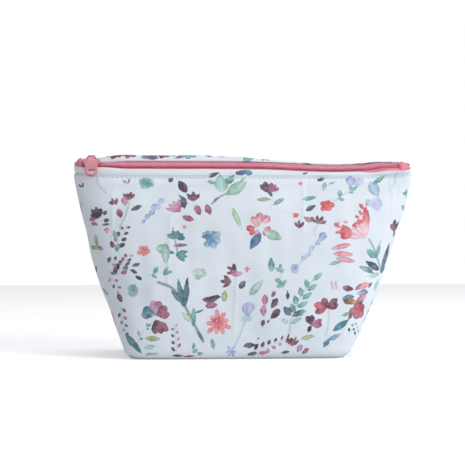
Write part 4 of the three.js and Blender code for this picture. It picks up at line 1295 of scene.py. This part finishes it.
def lip(side, name, half, nodes):
    """Half of a lip, from its side seam to the middle of the bag."""
    foot, s = TOP_ROWS[side]
    # Both halves have the column at the middle.
    keep = (foot[:, 0] < 0.1) if half == "left" else (foot[:, 0] > -0.1)
    foot, s = foot[keep], s[keep]
    section = (front_lip_rows if side < 0 else rear_lip_rows)(foot)
    rows = len(section)
    points = np.concatenate([np.broadcast_to(foot[None, :, :1], (rows, len(s), 1)), section], 2)
    run = np.concatenate([[0], np.cumsum(np.linalg.norm(np.diff(points[:, len(s) // 2], axis=0),
                                                        axis=1))])
    t = TOP_T + run
    flat = points.reshape(-1, 3)
    core = np.stack(np.broadcast_arrays(foot[:, 0], ZIP_Y, LIP_CORE_HEIGHT), 1)
    faces = facing(flat, grid_faces(rows, len(s)), (points - core).reshape(-1, 3))
    obj = mesh_object(f"{name}_lip_{half}", flat, faces.tolist())
    apply_print(obj, [printed_grid(s, t, side)])
    grid_s, grid_t = np.meshgrid(s, t)
    set_uv(obj, ((grid_s - s.min()) / LIP_MAP).ravel(),
           ((grid_t - TOP_T) / LIP_MAP).ravel() + 0.02)
    finish_piece(obj, PRINTED, replaces=nodes)
    bend(obj, side, half)
    return obj


def bend(obj, side, half):
    """Bakes a piece's place into its mesh."""
    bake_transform(obj)


def strip(name, x_values, section, side, half, material, nodes):
    """A strip along the zip whose section at each x is a loop of (y, z)."""
    points = np.concatenate([np.stack([x_values, y, z], 1) for y, z in section])
    rows, columns = len(section), len(x_values)
    faces = [tuple(f) for f in grid_faces(rows, columns, closed=True).tolist()]
    faces.append(tuple(r * columns for r in range(rows)))
    faces.append(tuple(r * columns + columns - 1 for r in range(rows))[::-1])
    obj = mesh_object(name, points, faces)
    fix_normals(obj)
    finish_piece(obj, material, replaces=nodes)
    bend(obj, side, half)


def halves(left_end, right_end, step):
    """Each half of the zip, with its values of x."""
    yield "left", np.linspace(left_end, 0, int(abs(left_end) / step))
    yield "right", np.linspace(0, right_end, int(right_end / step))


def tape(side, name, half, x):
    """The woven tape beside a coil, which dips under the folded edge of the lip."""
    out = LIP_EDGE + 0.6 + (RIGHT_END_SHOWS if side < 0 else 0) * right_end(x)
    sink = -0.9 * right_end(x) * (side < 0)
    ripple = 0.05 * np.sin(x / 2.1)
    section = [zip_point(x, side * v, n) for v, n in (
        (0.3, TAPE_TOP + ripple), (1.7, TAPE_TOP + ripple), (SLIDER_EDGE, TAPE_TOP),
        (out, TAPE_TOP - 0.1 + sink), (out, TAPE_TOP - TAPE + sink),
        (SLIDER_EDGE, TAPE_TOP - TAPE), (1.7, TAPE_TOP - TAPE), (0.3, TAPE_TOP - TAPE))]
    nodes = [f"{name}_zip_tape"] if half == "left" else []
    strip(f"{name}_tape_{half}", x, section, side, half, TAPE_CLOTH, nodes)


def lip_lining(side, name, half, x):
    """The lining behind a lip, from the bag's lining up to the tape."""
    reach = half_section(half_length(TOPSTITCH_HEIGHT), half_depth(TOPSTITCH_HEIGHT),
                         squareness(TOPSTITCH_HEIGHT), np.linspace(0, 1, 400))
    depth = np.interp(x, reach[0][::-1], reach[1][::-1])
    foot_y = side * np.maximum(depth - LINING_INSET, 0.5)
    foot_z = TOPSTITCH_HEIGHT + panel_lift(side, x) - 0.3
    level = TAPE_TOP - TAPE - 0.25 - 2.4 * smooth(86, 90, np.abs(x))  # clear of the slider
    top_y, top_z = zip_point(x, side * (LIP_EDGE + 0.5), level)
    middle = (lerp(foot_y, top_y, 0.5) - side * 0.3, lerp(foot_z, top_z, 0.5))
    section = [(foot_y, foot_z), middle, (top_y, top_z), (top_y + side * 0.35, top_z),
               (middle[0] + side * 0.4, middle[1]), (foot_y + side * 0.4, foot_z)]
    nodes = [f"{name}_lip_lining"] if half == "left" else []
    strip(f"{name}_lip_lining_{half}", x, section, side, half, LINING, nodes)


# ---- Coils --------------------------------------------------------------------------------
COIL_THREADS, COIL_THREAD_RADIUS = (0.95, 1.45), 0.11  # v of those that sew it to the tape
COIL_LOOP = ((1.78, 0.42), (1.88, 0.85), (1.76, 1.28), (1.4, 1.5), (0.85, 1.54), (0.2, 1.45),
             (-0.3, 1.2), (-0.46, 0.9), (-0.3, 0.58), (0.3, 0.36), (1.0, 0.24), (1.5, 0.24))


def coil(side, name, half, first, turns, nodes):
    """One spiral of nylon. Each turn's head crosses the middle, between two of the other's."""
    first += COIL_PITCH / 2 if side > 0 else 0
    path = []
    for i in range(turns):
        for k, (v, n) in enumerate(COIL_LOOP):
            share = k / len(COIL_LOOP)
            # The spiral steps along mostly where it runs back underneath.
            x = first + COIL_PITCH * (i + 0.25 * share + 0.75 * smooth(0.62, 1.0, share))
            # At the ends of the chain the heads stay apart, either side of the slider's wedge.
            v = max(v, lerp(-0.5, 0.75, smooth(86, 89, abs(x))))
            path.append((x, *zip_point(x, side * v, n)))
    parts = [tube(path, FILAMENT, 6)]
    for v in COIL_THREADS:
        xs = first + COIL_PITCH * np.arange(4 * turns - 2) / 4
        rise = 1.66 + 0.1 * np.cos(np.arange(len(xs)) * np.pi / 2)
        parts.append(tube(np.stack([xs, *zip_point(xs, side * v, rise)], 1),
                          COIL_THREAD_RADIUS, 5))
    points, faces = joined(parts)
    obj = mesh_object(f"{name}_coil_{half}", points, faces)
    middle_y, middle_z = zip_point(points[:, 0], 0, 0)
    set_attribute(obj, "across", np.hypot(points[:, 1] - middle_y, points[:, 2] - middle_z))
    finish_piece(obj, NYLON, replaces=nodes)
    bend(obj, side, half)


# ---- Ends of the zip ----------------------------------------------------------------------
# For each end: the x where the tapes' fold starts and ends, its height, and the phase and pace
# of its hump.
TAPE_ENDS = {-1: (-102.2, -107.4, 5.4, 0.3, 0.9), 1: (99.9, 107.6, 3.2, 0.0, 0.6)}


def tape_end(end, name, nodes):
    """The folded end of the tapes, which humps up beyond the chain and dives into the seam."""
    count, across = 26, 15
    start, tip, height, phase, pace = TAPE_ENDS[end]
    rows = []
    for k in np.linspace(0, 1, count):
        x = lerp(start, tip, k)
        half = lerp(4.2, 1.0, k ** 1.8)
        hump = height * np.sin(np.pi * lerp(phase, 0.97, k ** pace)) ** 0.9
        sink = lerp(-0.3, -1.4, k ** 2)
        v = np.linspace(-1, 1, across)
        crease = 0.2 * np.sin(11 * v + 6 * k) + 0.12 * np.sin(17 * v - 4 * k)
        n = sink + hump * (1 - np.abs(v) ** 2.4) + crease * (1 - v ** 2)
        forward = RIGHT_END_SHOWS * (end > 0) * (1 - k) * np.clip(-v, 0, 1)
        y, z = zip_point(x, v * half - forward, n - 0.7 * forward)
        rows.append(np.stack([np.full(across, x), y, z], 1))
    top = np.array(rows)
    points = np.concatenate([top.reshape(-1, 3), (top - [0, 0, 0.45]).reshape(-1, 3)])
    obj = mesh_object(f"zip_tape_end_{name}", points, pad_faces(count, across))
    fix_normals(obj)
    finish_piece(obj, TAPE_CLOTH, "shell", nodes)


# ---- Stitches -----------------------------------------------------------------------------
SEAM_GRID = 1.2  # spacing of the wall that the stitches follow
TOPSTITCH = {"pitch": 2.9, "length": 2.2, "radius": 0.27}
SIDE_STITCH = {"pitch": 3.2, "length": 1.5, "radius": 0.2}
BASE_STITCH = {"pitch": 3.2, "length": 2.0, "radius": 0.24}


def stitch(middle, along, out, length, radius):
    """A short plump stitch, its two ends pulled down into the cloth."""
    along, out = np.asarray(along, float), np.asarray(out, float)
    along /= np.linalg.norm(along)
    side = np.cross(along, out)
    side /= np.linalg.norm(side)
    up = np.cross(side, along)
    rings, points, faces = 7, [], []
    for i, k in enumerate(np.linspace(-1, 1, rings)):
        size = radius * (0.35 + 0.65 * np.sqrt(max(1 - k * k, 0)))
        centre = middle + along * length / 2 * k - up * radius * 1.6 * k * k
        for angle in np.linspace(0, 2 * np.pi, 6, endpoint=False):
            points.append(centre + size * (np.cos(angle) * side + np.sin(angle) * up))
        if i:
            for c in range(6):
                a, b = (i - 1) * 6 + c, (i - 1) * 6 + (c + 1) % 6
                faces.append((a, b, b + 6, a + 6))
    faces.append(tuple(range(6))[::-1])
    faces.append(tuple(range(6 * rings - 6, 6 * rings)))
    return np.array(points), faces


def stitches(name, path, outs, nodes, pitch, length, radius):
    """A row of stitches along a path of points, each facing its own way out."""
    path, outs = np.asarray(path, float), np.asarray(outs, float)
    run = np.concatenate([[0], np.cumsum(np.linalg.norm(np.diff(path, axis=0), axis=1))])
    parts = []

    def at(d, table):
        return np.array([np.interp(d, run, table[:, i]) for i in range(3)])

    for d in np.arange(pitch, run[-1] - pitch, pitch):
        along = at(d + 0.5, path) - at(d - 0.5, path)
        parts.append(stitch(at(d, path), along, at(d, outs), length, radius))
    obj = mesh_object(name, *joined(parts))
    fix_normals(obj)
    finish_piece(obj, THREAD, "shell", nodes)


def topstitch(side, name):
    points, _, t = shape_wall(side, SEAM_GRID)
    row = int(np.argmin(np.abs(t - STITCH_T)))
    n = normals_of(points)[row]
    stitches(f"{name}_topstitch_thread", points[row] + n * 0.42, n, [f"{name}_topstitch"],
             **TOPSTITCH)


def side_seam(end, name):
    front = shape_wall(-1, SEAM_GRID)[0]
    column = 0 if front[10, 0, 0] * end > 0 else -1
    seam = front[8:-6, column] * [1, 0, 1]
    out = np.tile([end, 0, 0.0], (len(seam), 1))
    stitches(f"{name}_side_seam_thread", seam + [end * 0.05, 0, 0], out, [f"{name}_side_seam"],
             **SIDE_STITCH)


def corner_seam(end, name):
    """Along the boxed corner, at the middle of the rounded edge under the end of the bag."""
    y = np.linspace(-24, 24, 40)
    cut = BASE_EDGE_RADIUS * (1 - np.sqrt(0.5))
    reach = half_length(BASE_EDGE_RADIUS) - cut - 0.35
    corner = lean(np.stack([np.full(40, end * reach), y, np.full(40, cut + 0.35)], 1))
    stitches(f"{name}_corner_seam_thread", corner, np.tile([end, 0, -1.0], (40, 1)),
             [f"{name}_corner_seam"], **BASE_STITCH)


def base_seam():
    x = np.linspace(-66, 66, 60)
    base = lean(np.stack([x, 0 * x, 0 * x + 0.55], 1))
    stitches("base_seam_thread", base, np.tile([0, 0, -1.0], (60, 1)), ["base_seam"],
             **BASE_STITCH)


# ---- Hard parts ---------------------------------------------------------------------------
def rounded_copy(node, name, width, body, material):
    """The CAD node's own shape with its edges rounded, as cast or moulded."""
    obj = bpy.data.objects.new(name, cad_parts[node].data.copy())
    bpy.context.scene.collection.objects.link(obj)
    bm = bmesh.new()
    bm.from_mesh(obj.data)
    bmesh.ops.remove_doubles(bm, verts=bm.verts, dist=0.00002)
    bmesh.ops.dissolve_limit(bm, angle_limit=np.radians(4), verts=bm.verts, edges=bm.edges)
    bm.to_mesh(obj.data)
    bm.free()
    edges = obj.modifiers.new("rounding", "BEVEL")
    edges.width = width * MM
    edges.segments = 3
    edges.limit_method = "ANGLE"
    edges.angle_limit = np.radians(28)
    edges.use_clamp_overlap = True
    apply_modifiers(obj)
    obj.data.shade_smooth()
    finish_piece(obj, material, body, [node])


def apply_modifiers(obj):
    graph = bpy.context.evaluated_depsgraph_get()
    mesh = bpy.data.meshes.new_from_object(obj.evaluated_get(graph))
    obj.modifiers.clear()
    obj.data = mesh


# ---- Building -----------------------------------------------------------------------------
def build_cloth():
    for side, name, cad in SIDES:
        cloth = panel(side, name, f"outer_{cad}_panel")
        wadding_pad(side, name, f"{cad}_wadding")
        lining = lining_panel(side, name, f"{cad}_lining")
        lips = [lip(side, name, "left", [f"{name}_lip_left_end", f"{name}_lip_cotton"]),
                lip(side, name, "right", [f"{name}_lip_right_end"])]


def build_zip():
    for side, name, _ in SIDES:
        for half, x in halves(*TAPE_SPAN, 1.2):
            tape(side, name, half, x)
        for half, x in halves(*LIP_LINING_SPAN, 2.0):
            lip_lining(side, name, half, x)
        coil(side, name, "left", -LEFT_TURNS * COIL_PITCH, LEFT_TURNS,
             [f"{name}_coil", f"{name}_coil_left_end"])
        coil(side, name, "right", 0, RIGHT_TURNS, [f"{name}_coil_right_end"])
    for end, name in ENDS:
        tape_end(end, name, [f"front_tape_{name}_end", f"rear_tape_{name}_end"])
    for node in ("front_top_stop", "rear_top_stop", "bottom_stop"):
        rounded_copy(node, node + "_moulded", 0.3, "shell", NYLON)


def build_seams():
    for side, name, _ in SIDES:
        topstitch(side, name)
    for end, name in ENDS:
        side_seam(end, name)
        corner_seam(end, name)
    base_seam()


def build_slider():
    rounded_copy("slider_body", "slider_cast", 0.28, "slider", ENAMEL)
    rounded_copy("pull_tab", "pull_cast", 0.32, "pull", ENAMEL)


build_cloth()
build_zip()
build_seams()
build_slider()


# ---- Studio -------------------------------------------------------------------------------
AIM = Vector((-0.0074, -0.008, 0.0776))
AZIMUTH, ELEVATION, DISTANCE, LENS = -3.5, 0.7, 0.9, 110.0
LAMP_AIM = Vector((0, 0, 0.06))
KEY_LIGHT, TOP_LIGHT, WORLD_LIGHT, PAPER_GLOW = 9.0, 4.2, 0.38, 0.34
FLOOR_REACH, FLOOR_DROP = 900, 0.05  # half of its size, and how far it lies under the bag


def place_camera():
    camera = bpy.data.objects.new("camera", bpy.data.cameras.new("camera"))
    bpy.context.scene.collection.objects.link(camera)
    a, e = np.radians(AZIMUTH), np.radians(ELEVATION)
    away = Vector((np.sin(a) * np.cos(e), -np.cos(a) * np.cos(e), np.sin(e)))
    camera.location = AIM + away * DISTANCE
    camera.rotation_euler = (-away).to_track_quat("-Z", "Y").to_euler()
    camera.data.lens = LENS
    camera.data.sensor_width = 36
    camera.data.clip_start, camera.data.clip_end = 0.01, 20
    bpy.context.scene.camera = camera


def lamp(name, place, size, energy, colour):
    light = bpy.data.lights.new(name, "AREA")
    light.shape, light.size, light.energy, light.color = "DISK", size, energy, colour
    obj = bpy.data.objects.new(name, light)
    bpy.context.scene.collection.objects.link(obj)
    obj.location = place
    obj.rotation_euler = (LAMP_AIM - Vector(place)).to_track_quat("-Z", "Y").to_euler()


def background_rays(tree):
    """1 for the rays that show a background: the camera's, and those in gloss and glass."""
    path = tree.nodes.new("ShaderNodeLightPath")
    total = path.outputs["Is Camera Ray"]
    for kind in ("Is Glossy Ray", "Is Transmission Ray"):
        larger = tree.nodes.new("ShaderNodeMath")
        larger.operation = "MAXIMUM"
        tree.links.new(total, larger.inputs[0])
        tree.links.new(path.outputs[kind], larger.inputs[1])
        total = larger.outputs[0]
    return total


def light_world():
    """The camera, glossy surfaces and glass see white; the object is lit by a plain grey."""
    world = bpy.data.worlds.new("studio")
    bpy.context.scene.world = world
    world.use_nodes = True
    tree = world.node_tree
    tree.nodes.clear()
    light, white = (tree.nodes.new("ShaderNodeBackground") for _ in range(2))
    light.inputs["Color"].default_value = (0.97, 0.98, 1.0, 1)
    light.inputs["Strength"].default_value = WORLD_LIGHT
    white.inputs["Color"].default_value = (1, 1, 1, 1)
    white.inputs["Strength"].default_value = 1.0
    mix = tree.nodes.new("ShaderNodeMixShader")
    tree.links.new(background_rays(tree), mix.inputs[0])
    tree.links.new(light.outputs[0], mix.inputs[1])
    tree.links.new(white.outputs[0], mix.inputs[2])
    out = tree.nodes.new("ShaderNodeOutputWorld")
    tree.links.new(mix.outputs[0], out.inputs[0])


def lay_floor():
    corners = [(x * FLOOR_REACH, y * FLOOR_REACH, -FLOOR_DROP)
               for x, y in ((-1, -1), (1, -1), (1, 1), (-1, 1))]
    floor = mesh_object("floor", corners, [(0, 1, 2, 3)])
    m = Material("floor_paper", 0.9, Specular_IOR_Level=0.0)
    tone = m.noise(m.object_mm(), 0.02, 2)
    m.colour(m.mix(m.remap(tone, 0.3, 0.7), rgba("f6f7f8"), rgba("f2f3f5")))
    # In the picture and in reflections, the paper is lifted to white outside the shadow.
    glow = m.add("Emission")
    glow.inputs["Strength"].default_value = PAPER_GLOW
    both = m.add("AddShader", m.shader.outputs[0], glow.outputs[0])
    shown = m.add("MixShader", background_rays(m.tree), m.shader.outputs[0], both.outputs[0])
    m.tree.links.new(shown.outputs[0], m.tree.nodes["Material Output"].inputs["Surface"])
    floor.data.materials.append(m.data)


place_camera()
light_world()
lay_floor()
lamp("key", (1.0, -0.7, 0.6), 0.6, KEY_LIGHT, (0.94, 0.98, 1.0))
lamp("top", (0.1, -0.05, 1.1), 0.9, TOP_LIGHT, (0.98, 0.99, 1.0))
bpy.context.scene.view_settings.view_transform = "Standard"
